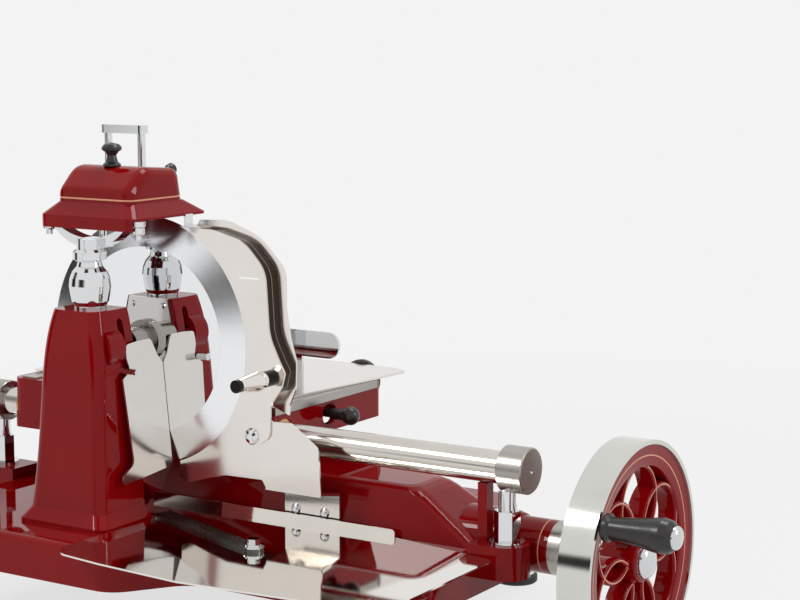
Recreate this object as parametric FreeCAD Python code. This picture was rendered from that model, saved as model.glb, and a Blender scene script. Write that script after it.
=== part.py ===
import FreeCAD, Part
import math
import os

# Hand crank meat slicer, millimetres, +Z up.
# Sizes are laid out from the blade's centre: X runs towards the flywheel, Y from the
# operator's side towards the meat, Z up. save() moves every piece to the row frame,
# whose origin is on the floor under the middle of the machine.

# ---------------------------------------------------------------- clearances
RUNNING = 0.05          # radial clearance of a shaft in its bush
SEAT = 0.3              # gap between curved or moving neighbours
SHEET = 2.5             # thickness of the stainless sheet parts

# ---------------------------------------------------------------- blade and spindle
BLADE_HEIGHT = 346.0    # blade centre above the floor
BLADE_R = 150.0
BLADE_FACE_R = 113.0    # flat mirror face inside the ground bevel
BLADE_FRONT = -5.0
BLADE_EDGE_Y = 1.4
BLADE_BACK = 2.0
BLADE_HOLLOW_R = 104.0
BLADE_HOLLOW = 1.6
BLADE_BORE_R = 12.0
HUB_R = 25.0
HUB_LENGTH = 7.0
BLADE_CAP_R = 30.0
SPINDLE_R = 9.0
SPINDLE_END = -98.0
HOUSING_R = 18.0
BUSH_WALL = 4.0
BUSH_LENGTH = 12.0

# ---------------------------------------------------------------- column
COLUMN_X = -28.0        # middle of the column
COLUMN_BACK = -47.0
COLUMN_LEVELS = (       # height, half width, front face
    (45.0, 35.0, -105.0),
    (0.0, 44.0, -112.0),
    (-70.0, 49.0, -117.0),
    (-140.0, 53.0, -122.0),
    (-190.0, 57.0, -127.0),
)
COLUMN_CORNER_R = 14.0
PLINTH_FLARE = 10.0
PLINTH_HEIGHT = 12.0
BACK_PLATE = 4.0
BACK_PLATE_MARGIN = 5.0
CHAIN_Y = -78.0
CAVITY_FRONT = -92.0
CHAIN_CAVITY_TOP_R = 20.0
CHAIN_CAVITY_LOW_R = 31.0
CAVITY_REAR_R = 14.0
BULGE_WALL = 4.5
SLOT_Z = (4.0, 34.0)
SLOT_Y = -66.0
SLOT_R = 5.0
SLOT_DEPTH = 5.0

# ---------------------------------------------------------------- neck and sharpener
NECK_X = -28.0
NECK_Y = -72.0
NECK_R = 25.0
NECK_TOP = 100.0
COLLAR_R = 20.0
COLLAR_HEIGHT = 15.0
ARM_HEIGHT = 12.0
ARM_PAD = 6.0
ARM_HALF = 9.0
PAD_REACH = 14.0        # pads of the arm beyond its curve
COVER_X = (-90.0, 26.0)
COVER_Y = (-60.0, 44.0)
SKIRT_OUT = 15.0
REAR_FLARE = 8.0        # the skirt reaches further out at the rear
SKIRT_Z = 150.0
COVER_Z = 158.0
ROOF_Z = 211.0
BROW_DROP = 27.0        # roof's crown down to the top of the hood's front face
TAIL_DROP = 5.0
CROWN_Y = -30.0
COVER_ROUND = 12.0      # rounding of the hood's edges
APRON_DROP = 12.0       # front apron below the skirt
ARM_Y = -60.0
COVER_WALL = 3.0
COVER_KNOB_H = 28.0
COVER_KNOB_R = 12.0
SMALL_KNOB_IN = 26.0
STONE_R = 17.0
STONE_THICK = 8.0
STONE_SPINDLE_R = 4.0
STONE_GAP = 3.0         # parked stones clear the edge by this
STONE_POST_Y = -46.0
STONE_POST_R = 5.0
STONES = (              # x, y of the wheel's front face, y of the lug that holds it
    (-53.0, 5.0, 19.0),
    (-3.0, -16.0, -18.0),
)

# ---------------------------------------------------------------- deflector
DEFLECTOR_TOP_X = 20.0
DEFLECTOR_LOW_X = 36.0
DEFLECTOR_FRONT = -70.0
DEFLECTOR_TOP_Z = 6.0
DEFLECTOR_LOW_Z = -150.0
DEFLECTOR_GAP = 0.6     # from the blade's face
PEG_Y = -72.0
PEG_Z = -27.0
PEG_R = 4.5
PEG_END = 42.0

# ---------------------------------------------------------------- ring guard
GUARD_INNER_R = 152.0
GUARD_FRONT = -8.0
FLANGE_Y = 8.0
GUARD_PIVOT = (160.0, -101.0)
GUARD_PIVOT_R = 5.0
GUARD_SCREW_R = 10.0
KNOB_AXIS = (184.0, -30.0)
KNOB_LENGTH = 62.0
LOWER_PLATE_Y = -5.2
GUARD_INSET = 3.0
GUARD_WALL_END = -46.0
FLANGE_WIDTH = 24.0
GUARD_EDGE = (          # outer edge of the front plate, from the top round to the tongue
    (57.0, 141.0, 0.0),
    (106.0, 139.0, 40.0),
    (150.0, 128.0, 50.0),
    (181.0, 96.0, 40.0),
    (186.0, 20.0, 60.0),
    (200.0, -8.0, 10.0),
    (208.0, -22.0, 6.0),
    (203.0, -40.0, 8.0),
    (187.0, -62.0, 18.0),
    (186.0, -100.0, 14.0),
    (163.0, -114.0, 14.0),
    (138.0, -100.0, 14.0),
    (126.0, -86.0, 2.0),
)
FLANGE_EDGE = (
    (74.0, 148.0, 0.0),
    (114.0, 150.0, 50.0),
    (162.0, 133.0, 60.0),
    (199.0, 96.0, 30.0),
    (199.0, 50.0, 60.0),
    (205.0, 16.0, 30.0),
    (213.0, -10.0, 14.0),
    (212.0, -42.0, 12.0),
    (203.0, -62.0, 14.0),
    (202.0, -74.0, 0.0),
)

# ---------------------------------------------------------------- base casting
DECK_Z = -208.0
SKIRT_BOTTOM = -256.0
BASE_WALL = 7.0
BASE_OUTLINE = (        # x, y, corner radius
    (-250.0, -190.0, 45.0),
    (95.0, -190.0, 40.0),
    (150.0, -110.0, 50.0),
    (445.0, -110.0, 45.0),
    (445.0, 120.0, 60.0),
    (345.0, 300.0, 60.0),
    (-250.0, 300.0, 45.0),
)
DECK_EDGE_R = 8.0
FEET = ((400.0, -75.0), (303.0, 375.0), (-190.0, -150.0), (-190.0, 375.0))
LEG_TOPS = ((411.0, -76.0), (290.0, 268.0), (-216.0, -156.0), (-216.0, 266.0))
LEG_TOP_SIZE = 66.0
LEG_TOP_Z = -232.0
LEG_MID_Z = -292.0
FOOT_R = 28.0
PAD_HEIGHT = 12.0
FOOT_PLATE = 4.0
LEG_R = 24.0

# ---------------------------------------------------------------- hump over the drive shaft
HUMP_LOW = ((-95.0, 36.0), (440.0, 150.0))
HUMP_TOP = ((-80.0, 50.0), (350.0, 128.0))
HUMP_TOP_Z = -150.0
HUMP_CORNER = 14.0
HUMP_EDGE_R = 9.0
TUNNEL_R = 16.0

# ---------------------------------------------------------------- drive
SHAFT_Y = 90.0
SHAFT_Z = -206.0
SHAFT_R = 10.0
DOME_R = 36.0
DOME_X = (400.0, 470.0)
SLEEVE_R = 31.0
SLEEVE_END = 515.0
CHROME_RING = 15.0
SLEEVE_BUSH_X = (446.0, 476.0)
WEB_X = 20.0            # bearing web inside the hump
CROSS_X = -50.0
CROSS_R = 9.0
BEVEL_R = 22.0
BEVEL_FACE = 9.0
BEVEL_TEETH = 16
PINION_TEETH = 12
CRANK_TEETH = 24
GEAR_MODULE = 3.0
TOOTH_SHARE = 0.38      # tooth thickness as a share of the pitch
PINION_X = 326.0
PINION_FACE = 9.0
CRANK_RADIUS = 125.0
CRANK_POST_R = 8.0
EYE_R = 11.0            # eyes round the connecting rod's pins
ARM_Z = (-246.0, -238.0)
ROD_Z = (-255.0, -247.0)
ROD_LENGTH = 250.0
ROD_PIN_R = 6.0
CHAIN_PITCH = 6.35
LOWER_TEETH = 24
UPPER_TEETH = 12
CHAIN_WIDTH = 7.0
CHAIN_THICK = 4.0

# ---------------------------------------------------------------- flywheel
WHEEL_R = 134.0
WHEEL_X = (582.0, 620.0)
RIM_BAND = 5.0
RING_INNER_R = 104.0
WEB_THICK = 22.0
WEB_INSET = 6.0         # flower's face behind the wheel's face
PETALS = 6
PETAL_TURN = -26.0
PETAL_R = 27.0
PETAL_CENTRE = 79.0     # middle of a petal's round end, from the hub
PETAL_ROOT = 28.0
PETAL_ROOT_R = 10.0
PETAL_WALL = 7.0
HUB_BOSS_R = 24.0
HUB_RISE = 6.0
CRANK_PIN_R = 6.0
CRANK_PIN_Y = -12.0
CRANK_PIN_Z = -145.0
GRIP_LENGTH = 80.0
GRIP_R = 19.0
GRIP_CAP = 7.0

# ---------------------------------------------------------------- guide tube
TUBE_Y = 40.0
TUBE_Z = -109.5
TUBE_R = 18.5
TUBE_X = (-300.0, 506.0)
TUBE_CAP_R = 26.2
TUBE_CAP_LENGTH = 32.0
STUD_X = 476.0
STUD_R = 10.0
SPACER_FLATS = 26.0
SPACER_Z = (-191.0, -157.0)
WASHER_R = 20.0
WASHER_THICK = 3.0
LOBE_R = 26.0
LOBE_BOTTOM = -232.0
LUG_X = (442.0, 454.0)

# ---------------------------------------------------------------- carriage and meat table
CARRIAGE_X = (-240.0, 172.0)
CARRIAGE_Y = (14.0, 256.0)
CARRIAGE_Z = (-118.0, -72.0)
CARRIAGE_WALL = 8.0
BEAM_BOTTOM = -136.0
CARRIAGE_BUSH_R = 22.5
CARRIAGE_BUSH = 30.0
STROKE = 250.0
TABLE_X = (-240.0, 176.0)
TABLE_Y = (52.0, 313.0)
TABLE_TOP = -67.0
TABLE_PLATE = 3.0
TABLE_IN = 28.0         # table travel towards the blade
TABLE_OUT = 80.0
GIB_WIDTH = 24.0
GIB_HEIGHT = 9.7
FEED_X = 95.0
FEED_Z = -90.0
FEED_R = 6.0
FEED_KNOB_R = 27.0
FEED_END = 340.0
FEED_KNOB_DEPTH = 22.0
FEED_START = 110.0
FEED_BLOCK_Y = (290.0, 304.0)
NUT_LENGTH = 20.0
NUT_R = 12.0
LEVER_Y = 135.0
LEVER_Z = -96.0
LEVER_R = 6.0
LEVER_BALL_R = 11.5
LEVER_BALL_X = 203.0
LEVER_PIVOT_X = 112.0
LEVER_PIN_R = 4.0
DRIVE_ARM_Y = 175.0
DRIVE_ARM_THICK = 10.0
DRIVE_ARM_WIDTH = 24.0
TAB_Z = (-236.5, -232.0)
ROLLER_R = 16.0
ROLLER_Y = 270.0
ROLLER_Z = -179.0
ROLLER_X = -40.0
ROLLER_WIDTH = 14.0
ROLLER_AXLE_R = 5.0
RAIL_WIDTH = 16.0

# ---------------------------------------------------------------- fence and clamp
FENCE_X = (-165.0, 160.0)
FENCE_Y = (173.0, 177.0)
FENCE_Z = (-36.0, -3.0)
POST_X = (-224.0, -167.0)
POST_Y = 192.0
POST_R = 5.5
POST_TOP = 246.0
HEAD_Z = (52.0, 76.0)

# ---------------------------------------------------------------- tray and guard bracket
TRAY_SHEET = 2.0
TRAY_TOP = -206.0
TRAY_OUTLINE = (
    (40.0, -225.0, 30.0),
    (120.0, -236.0, 20.0),
    (236.0, -245.0, 6.0),
    (391.0, -230.0, 14.0),
    (479.0, -176.0, 14.0),
    (478.0, 6.0, 12.0),
    (335.0, 30.0, 4.0),
    (-20.0, 30.0, 3.0),
    (-20.0, -30.0, 3.0),
    (42.0, -30.0, 6.0),
    (42.0, -140.0, 20.0),
)
LIP_HEIGHT = 9.0
LIP_X = (-20.0, 335.0)
BRACKET_X = (177.0, 255.0)
BRACKET_TOP = -166.0
BRACKET_Y = 33.5
BRACKET_SCREWS = (193.0, 234.0)
BRACKET_SCREW_Z = -192.0

# ---------------------------------------------------------------- ends and origin
FLOOR_Z = -BLADE_HEIGHT
STUD_PLACES = (STUD_X, TUBE_X[0] + TUBE_CAP_LENGTH / 2.0)
LEFT_END = STUD_PLACES[1] - LOBE_R
HANDLE_END = WHEEL_X[1] + 2.0 + GRIP_LENGTH + GRIP_CAP
FRONT_END = min(corner[1] for corner in TRAY_OUTLINE)
REAR_END = max(foot[1] for foot in FEET) + FOOT_R
ORIGIN = FreeCAD.Vector(
    (LEFT_END + HANDLE_END) / 2.0,
    (FRONT_END + REAR_END) / 2.0,
    FLOOR_Z,
)
X_AXIS = FreeCAD.Vector(1, 0, 0)
Y_AXIS = FreeCAD.Vector(0, 1, 0)
Z_AXIS = FreeCAD.Vector(0, 0, 1)


# ================================================================ helpers
def vec(x, y, z):
    """Short name for a point."""
    return FreeCAD.Vector(x, y, z)


def block(x, y, z):
    """Box between two limits on each axis."""
    corner = vec(x[0], y[0], z[0])
    return Part.makeBox(x[1] - x[0], y[1] - y[0], z[1] - z[0], corner)


def rod(start, end, radius):
    """Round bar between two points."""
    along = end - start
    return Part.makeCylinder(radius, along.Length, start, along)


def pipe(start, end, outer, inner):
    """Round tube between two points."""
    return rod(start, end, outer).cut(rod(start, end, inner))


def turned(profile, start, axis):
    """Body of revolution: profile gives (radius, distance along the axis) pairs."""
    points = [vec(r, 0, h) for r, h in profile]
    face = Part.Face(Part.makePolygon(points + points[:1]))
    body = face.revolve(vec(0, 0, 0), Z_AXIS, 360)
    return placed(body, start, axis)


def placed(shape, start, axis):
    """Turn a shape's Z axis along another axis and move it to a point."""
    turn = FreeCAD.Rotation(Z_AXIS, axis)
    moved = shape.copy()
    moved.Placement = FreeCAD.Placement(start, turn).multiply(shape.Placement)
    return moved


def spun(shape, centre, axis, degrees):
    """Copy of a shape turned about an axis through a point."""
    copy = shape.copy()
    copy.rotate(centre, axis, degrees)
    return copy


def shifted(shape, x, y, z):
    """Copy of a shape moved by a distance."""
    copy = shape.copy()
    copy.translate(vec(x, y, z))
    return copy


def joined(shapes):
    """One solid from overlapping or touching shapes."""
    body = shapes[0]
    if len(shapes) > 1:
        body = body.fuse(list(shapes[1:]))
    body = body.removeSplitter()
    return body.Solids[0] if len(body.Solids) == 1 else body


def fillet_corner(before, corner, after, radius):
    """Tangent points and middle of the arc that rounds one corner."""
    to_before = (before - corner).normalize()
    to_after = (after - corner).normalize()
    half = to_before.getAngle(to_after) / 2.0
    reach = radius / math.tan(half)
    middle = (to_before + to_after).normalize()
    centre = corner + middle * (radius / math.sin(half))
    return corner + to_before * reach, centre - middle * radius, corner + to_after * reach


def outline(corners, place):
    """Closed wire with rounded corners; place turns (u, v) into a point."""
    points = [place(c[0], c[1]) for c in corners]
    radii = [c[2] if len(c) > 2 else 0.0 for c in corners]
    arcs = []
    for i, corner in enumerate(points):
        before = points[i - 1]
        after = points[(i + 1) % len(points)]
        if radii[i] > 0.0:
            arcs.append(fillet_corner(before, corner, after, radii[i]))
        else:
            arcs.append((corner, None, corner))
    edges = []
    for i, (first, middle, last) in enumerate(arcs):
        if middle is not None:
            edges.append(Part.Arc(first, middle, last).toShape())
        following = arcs[(i + 1) % len(arcs)][0]
        if (following - last).Length > 1e-6:
            edges.append(Part.LineSegment(last, following).toShape())
    return Part.Wire(edges)


def flat_z(height):
    """Place (u, v) as (x, y) at a height."""
    return lambda u, v: vec(u, v, height)


def flat_y(depth):
    """Place (u, v) as (x, z) at a depth."""
    return lambda u, v: vec(u, depth, v)


def flat_x(offset):
    """Place (u, v) as (y, z) at an x."""
    return lambda u, v: vec(offset, u, v)


def slab(corners, low, high):
    """Plate with an outline in x and y, between two heights."""
    face = Part.Face(outline(corners, flat_z(low)))
    return face.extrude(vec(0, 0, high - low))


def panel(corners, front, back):
    """Plate with an outline in x and z, between two depths."""
    face = Part.Face(outline(corners, flat_y(front)))
    return face.extrude(vec(0, back - front, 0))


def side_panel(corners, left, right):
    """Plate with an outline in y and z, between two x values."""
    face = Part.Face(outline(corners, flat_x(left)))
    return face.extrude(vec(right - left, 0, 0))


def rectangle(x, y, radius):
    """Corners of a rounded rectangle."""
    return (
        (x[0], y[0], radius),
        (x[1], y[0], radius),
        (x[1], y[1], radius),
        (x[0], y[1], radius),
    )


def lofted(wires):
    """Solid through a stack of similar wires."""
    return Part.makeLoft(wires, True, False)


def racetrack(centre_a, radius_a, centre_b, radius_b, front, back):
    """Prism round two circles in the x-z plane, with their outer tangents."""
    ends = [
        rod(vec(centre_a[0], front, centre_a[1]), vec(centre_a[0], back, centre_a[1]), radius_a),
        rod(vec(centre_b[0], front, centre_b[1]), vec(centre_b[0], back, centre_b[1]), radius_b),
    ]
    dx = centre_b[0] - centre_a[0]
    dz = centre_b[1] - centre_a[1]
    span = math.hypot(dx, dz)
    heading = math.atan2(dz, dx)
    lean = math.acos((radius_a - radius_b) / span)
    corners = []
    for centre, radius, side in (
        (centre_a, radius_a, 1),
        (centre_b, radius_b, 1),
        (centre_b, radius_b, -1),
        (centre_a, radius_a, -1),
    ):
        angle = heading + side * lean
        corners.append((centre[0] + radius * math.cos(angle), centre[1] + radius * math.sin(angle)))
    return joined([panel(corners, front, back)] + ends)


def toothed_disc(teeth, root_r, tip_r, thickness, tip_share):
    """Disc in the x-y plane with trapezoid teeth; a tooth points along +X."""
    points = []
    step = 2.0 * math.pi / teeth
    for i in range(teeth):
        middle = i * step
        for radius, share in ((root_r, -0.32), (tip_r, -tip_share), (tip_r, tip_share), (root_r, 0.32)):
            angle = middle + share * step
            points.append(vec(radius * math.cos(angle), radius * math.sin(angle), 0))
    face = Part.Face(Part.makePolygon(points + points[:1]))
    return face.extrude(vec(0, 0, thickness))


def hex_bar(centre, flats, height):
    """Upright hexagonal bar."""
    corner_r = flats / math.sqrt(3.0)
    points = []
    for i in range(6):
        angle = math.radians(60 * i + 20)
        points.append(vec(corner_r * math.cos(angle), corner_r * math.sin(angle), 0) + centre)
    face = Part.Face(Part.makePolygon(points + points[:1]))
    return face.extrude(vec(0, 0, height))


def dome_screw(seat, axis, radius, height):
    """Round screw head with a slot, its flat side on the seat."""
    profile = [(0, 0), (radius, 0), (radius * 0.8, height * 0.7), (radius * 0.4, height), (0, height)]
    return turned(profile, seat, axis)


def save(node, shape):
    """Move a piece to the row frame and write it."""
    moved = shape.copy()
    moved.translate(ORIGIN * -1.0)
    moved.exportStep("parts/" + node + ".step")


# ================================================================ base
def column_section(level, grow):
    """Rounded section of the column at one height."""
    height, half, front = level
    sides = (COLUMN_X - half - grow, COLUMN_X + half + grow)
    corners = (
        (sides[0], front - grow, COLUMN_CORNER_R),
        (sides[1], front - grow, COLUMN_CORNER_R),
        (sides[1], COLUMN_BACK, 1.0),
        (sides[0], COLUMN_BACK, 1.0),
    )
    return outline(corners, flat_z(height))


def chain_space(radius_top, radius_low, front, back):
    """Racetrack round the two sprocket centres."""
    return racetrack((0.0, 0.0), radius_top, (CROSS_X, SHAFT_Z), radius_low, front, back)


def bulge_end():
    """Rear of the swelling round the upper sprocket, in front of the deflector."""
    return DEFLECTOR_FRONT - 2 * SEAT


def column_cavity():
    """Room for the chain, narrower behind the upper sprocket, open to the back plate and the base."""
    room = chain_space(CHAIN_CAVITY_TOP_R, CHAIN_CAVITY_LOW_R, CAVITY_FRONT, bulge_end() - 3)
    rear = chain_space(CAVITY_REAR_R, CHAIN_CAVITY_LOW_R, CAVITY_FRONT, COLUMN_BACK + 1)
    return joined([room, rear])


def blade_column():
    """Tapered red column that carries the blade and encloses the chain."""
    body = lofted([column_section(level, 0.0) for level in COLUMN_LEVELS])
    foot = (COLUMN_LEVELS[-1][0], COLUMN_LEVELS[-1][1], COLUMN_LEVELS[-1][2])
    deck = (DECK_Z, foot[1], foot[2])
    low = (DECK_Z + 4.0, foot[1], foot[2])
    plinth = Part.makeLoft([column_section(foot, 0.0), column_section(low, PLINTH_FLARE)], True, True)
    base = Part.makeLoft([column_section(low, PLINTH_FLARE), column_section(deck, PLINTH_FLARE)], True, True)
    bulge_r = CHAIN_CAVITY_TOP_R + BULGE_WALL
    bulge = rod(vec(0, CAVITY_FRONT - 4, 0), vec(0, bulge_end(), 0), bulge_r)
    body = joined([body, plinth, base, bulge])
    body = body.cut(column_cavity())
    bearing = rod(vec(0, SPINDLE_END - 2, 0), vec(0, CAVITY_FRONT + 1, 0), SPINDLE_R + BUSH_WALL)
    body = body.cut(bearing)
    right = COLUMN_X + COLUMN_LEVELS[0][1]
    slot = side_panel(
        rectangle((SLOT_Y - SLOT_R, SLOT_Y + SLOT_R), SLOT_Z, SLOT_R - 0.1),
        right - SLOT_DEPTH,
        right + 30,
    )
    low_bearing = cross_line((SPINDLE_END - 2, CAVITY_FRONT + 1), CROSS_R + BUSH_WALL)
    return body.cut([slot, low_bearing])


def back_plate_outline(margin):
    """Corners of the column's rear face, drawn in by a margin."""
    levels = [(height, half) for height, half, _ in COLUMN_LEVELS]
    levels.append((DECK_Z + 4.0, COLUMN_LEVELS[-1][1]))
    right = [(COLUMN_X + half - margin, height) for height, half in levels]
    left = [(COLUMN_X - half + margin, height) for height, half in reversed(levels)]
    return right + left


def column_back_plate():
    """Polished steel plate that closes the column's rear."""
    back = COLUMN_BACK + BACK_PLATE
    plate = panel(back_plate_outline(BACK_PLATE_MARGIN), COLUMN_BACK, back)
    holes = [rod(vec(0, -60, 0), vec(0, -30, 0), SPINDLE_R + BUSH_WALL)]
    holes.append(cross_line((COLUMN_BACK - 1, back + 1), CROSS_R + 1))
    return plate.cut(holes)


def back_plate_screws():
    """Four round heads on the back plate's corners."""
    seat = COLUMN_BACK + BACK_PLATE
    heads = []
    for level in (COLUMN_LEVELS[0], COLUMN_LEVELS[3]):
        drop = 9.0
        for side in (-1, 1):
            x = COLUMN_X + side * (level[1] - BACK_PLATE_MARGIN - 6.0)
            heads.append(dome_screw(vec(x, seat, level[0] - drop), Y_AXIS, 4.0, 2.0))
    return heads


def spindle_housing():
    """Dark bright tube that carries the spindle in front of the blade."""
    back = COLUMN_BACK + BACK_PLATE
    front = BLADE_FRONT - HUB_LENGTH - SEAT
    return pipe(vec(0, back, 0), vec(0, front, 0), HOUSING_R, SPINDLE_R + BUSH_WALL)


def spindle_bushes():
    """One bush in the housing and one in the column's front wall."""
    front = BLADE_FRONT - HUB_LENGTH - SEAT
    bushes = []
    for start in (front - BUSH_LENGTH, SPINDLE_END):
        end = start + BUSH_LENGTH
        if start == SPINDLE_END:
            end = CAVITY_FRONT
        bushes.append(pipe(vec(0, start, 0), vec(0, end, 0), SPINDLE_R + BUSH_WALL, SPINDLE_R + RUNNING))
    return bushes


def base_outer():
    """Solid form of the base before it is hollowed."""
    body = slab(BASE_OUTLINE, SKIRT_BOTTOM, DECK_Z)
    rim = [e for e in body.Edges if e.BoundBox.ZMin > DECK_Z - 0.1]
    return body.makeFillet(DECK_EDGE_R, rim)


def legs():
    """Four legs that splay from the skirt's corners down to the feet."""
    shapes = []
    half = LEG_TOP_SIZE / 2.0
    for (x, y), (tx, ty) in zip(FEET, LEG_TOPS):
        levels = (
            (tx, ty, half, LEG_TOP_Z),
            (x, y, LEG_R + 2, LEG_MID_Z),
            (x, y, LEG_R, leg_bottom()),
        )
        wires = []
        for cx, cy, size, z in levels:
            wires.append(outline(rectangle((cx - size, cx + size), (cy - size, cy + size), size - 2), flat_z(z)))
        shapes.append(Part.makeLoft(wires, True, False))
    return shapes


def leg_bottom():
    """Height at which a leg stands on its foot plate."""
    return FLOOR_Z + PAD_HEIGHT + FOOT_PLATE


def hump(shrink):
    """Raised cover over the drive shaft; shrink gives its inside."""
    low_z = DECK_Z - (BASE_WALL + 1 if shrink else 0)
    top_z = HUMP_TOP_Z - shrink
    sections = []
    for (low, high), height in ((HUMP_LOW, low_z), (HUMP_TOP, top_z)):
        x = (low[0] + shrink, high[0] - shrink)
        y = (low[1] + shrink, high[1] - shrink)
        sections.append(outline(rectangle(x, y, HUMP_CORNER), flat_z(height)))
    return Part.makeLoft(sections, True, True)


def hump_outer():
    """Hump with its top edge rounded over."""
    sections = [outline(rectangle(*zip(*HUMP_LOW), HUMP_CORNER), flat_z(DECK_Z))]
    for degrees in (0, 30, 60, 90):
        angle = math.radians(degrees)
        height = HUMP_TOP_Z - HUMP_EDGE_R * (1 - math.sin(angle))
        inset = HUMP_EDGE_R * (1 - math.cos(angle))
        share = (height - DECK_Z) / (HUMP_TOP_Z - DECK_Z)
        sides = []
        for axis in (0, 1):
            near = HUMP_LOW[0][axis] + share * (HUMP_TOP[0][axis] - HUMP_LOW[0][axis])
            far = HUMP_LOW[1][axis] + share * (HUMP_TOP[1][axis] - HUMP_LOW[1][axis])
            sides.append((near + inset, far - inset))
        sections.append(outline(rectangle(*sides, HUMP_CORNER), flat_z(height)))
    return Part.makeLoft(sections, True, True)


def shaft_line(x, radius):
    """Cylinder on the drive shaft's axis."""
    return rod(vec(x[0], SHAFT_Y, SHAFT_Z), vec(x[1], SHAFT_Y, SHAFT_Z), radius)


def cross_line(y, radius):
    """Cylinder on the cross shaft's axis."""
    return rod(vec(CROSS_X, y[0], SHAFT_Z), vec(CROSS_X, y[1], SHAFT_Z), radius)


def stud_lobes():
    """Two rounded lobes on the base's ends that carry the guide tube's studs."""
    shapes = []
    for x, wall_x in zip(STUD_PLACES, (BASE_OUTLINE[3][0], BASE_OUTLINE[0][0])):
        shapes.append(rod(vec(x, TUBE_Y, LOBE_BOTTOM), vec(x, TUBE_Y, stud_seat()), LOBE_R))
        inner = wall_x - math.copysign(6.0, wall_x)
        span = (min(x, inner), max(x, inner))
        shapes.append(block(span, (TUBE_Y - LOBE_R, TUBE_Y + LOBE_R), (LOBE_BOTTOM, stud_seat())))
    return shapes


def shaft_nose():
    """Domed housing and sleeve round the drive shaft's outer end."""
    length = DOME_X[1] - DOME_X[0]
    profile = [(0, 0), (DOME_R, 0), (DOME_R, length - 12), (SLEEVE_R + 2.5, length - 3), (SLEEVE_R, length), (0, length)]
    dome = turned(profile, vec(DOME_X[0], SHAFT_Y, SHAFT_Z), X_AXIS)
    return [dome, shaft_line((DOME_X[1] - 1, SLEEVE_END), SLEEVE_R)]


def tunnel():
    """Arched cover over the cross shaft, between the column and the hump."""
    y = (COLUMN_BACK + BACK_PLATE + SEAT, HUMP_LOW[0][1] + 8)
    roof = cross_line(y, TUNNEL_R).common(block((-100, 0), y, (DECK_Z - 4, 0)))
    return [roof, block((CROSS_X - TUNNEL_R, CROSS_X + TUNNEL_R), y, (DECK_Z - 4, SHAFT_Z))]


def hump_web():
    """Bearing web inside the hump for the drive shaft's inner bush."""
    x = (WEB_X, WEB_X + BUSH_LENGTH)
    web = block(x, (SHAFT_Y - 60, SHAFT_Y + 60), (SHAFT_Z - 12, HUMP_TOP_Z)).common(hump(1.0))
    return joined([web, shaft_line(x, SHAFT_R + BUSH_WALL + 5)])


def base_casting():
    """Hollow red casting: deck, skirt, legs, hump, shaft tunnel, sleeve and stud lobes."""
    outer_parts = [base_outer(), hump_outer()] + stud_lobes() + shaft_nose() + tunnel()
    outer_parts.append(block(LUG_X, (TUBE_Y - 7, TUBE_Y + 7), (DECK_Z - 10, TUBE_Z - TUBE_R - SEAT)))
    outer_parts.append(bracket_pad())
    body = joined(outer_parts)
    inner_wire = outline(BASE_OUTLINE, flat_z(SKIRT_BOTTOM - 1)).makeOffset2D(-BASE_WALL)
    inside = Part.Face(inner_wire).extrude(vec(0, 0, DECK_Z - BASE_WALL - SKIRT_BOTTOM + 1))
    body = body.cut([inside, hump(BASE_WALL), column_hole(), drive_arm_slot()])
    bearing = block((CROSS_X - 20, CROSS_X + 20), (SPINDLE_END - 12, CAVITY_FRONT), (SHAFT_Z - 24, DECK_Z - 2))
    body = joined([body, bearing, hump_web()] + legs())
    bores = [shaft_line((WEB_X - 1, WEB_X + BUSH_LENGTH + 1), SHAFT_R + BUSH_WALL)]
    bores.append(shaft_line((HUMP_TOP[1][0] - 20, SLEEVE_END + 1), SHAFT_R + BUSH_WALL))
    bores.append(cross_line((COLUMN_BACK, HUMP_LOW[0][1] + 20), CROSS_R + 2))
    for y in cross_bush_places():
        bores.append(cross_line(y, CROSS_R + BUSH_WALL))
    return body.cut(bores)


def bracket_pad():
    """Flat pad on the hump that the guard bracket is screwed to."""
    x = (BRACKET_X[0] + 3, BRACKET_X[1] - 3)
    return block(x, (BRACKET_Y + SHEET, HUMP_TOP[0][1] + 2), (DECK_Z - 2, BRACKET_TOP - 10))


def column_hole():
    """Opening in the deck under the column for the chain and lower sprocket."""
    return chain_space(CHAIN_CAVITY_TOP_R, CHAIN_CAVITY_LOW_R, CAVITY_FRONT, COLUMN_BACK)


def drive_arm_slot():
    """Slot in the deck for the carriage's drive arm."""
    x = (drive_x() - DRIVE_ARM_WIDTH / 2 - 4, drive_x() + STROKE + DRIVE_ARM_WIDTH / 2 + 4)
    y = (DRIVE_ARM_Y - DRIVE_ARM_THICK / 2 - 4, DRIVE_ARM_Y + DRIVE_ARM_THICK / 2 + 4)
    return slab(rectangle(x, y, 8.0), DECK_Z - 20, DECK_Z + 5)


def drive_x():
    """Where the connecting rod drives the carriage at rest."""
    return crank_x() - CRANK_RADIUS - ROD_LENGTH


def crank_x():
    """Centre of the crank gear under the pinion."""
    return PINION_X - GEAR_MODULE * CRANK_TEETH / 2.0


def stud_seat():
    """Top of the lobe that the guide tube's stud stands on."""
    return SPACER_Z[0] - WASHER_THICK


def foot_pads():
    """Four black rubber pads on the floor."""
    pads = []
    for x, y in FEET:
        profile = [(0, 0), (FOOT_R - 2, 0), (FOOT_R, 2), (FOOT_R, PAD_HEIGHT - 3), (FOOT_R - 4, PAD_HEIGHT), (0, PAD_HEIGHT)]
        pads.append(turned(profile, vec(x, y, FLOOR_Z), Z_AXIS))
    return Part.makeCompound(pads)


def foot_plates():
    """Four bright discs between the legs and the pads."""
    plates = []
    for x, y in FEET:
        base = vec(x, y, FLOOR_Z + PAD_HEIGHT)
        plates.append(rod(base, base + vec(0, 0, FOOT_PLATE), FOOT_R - 4))
    return Part.makeCompound(plates)


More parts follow.
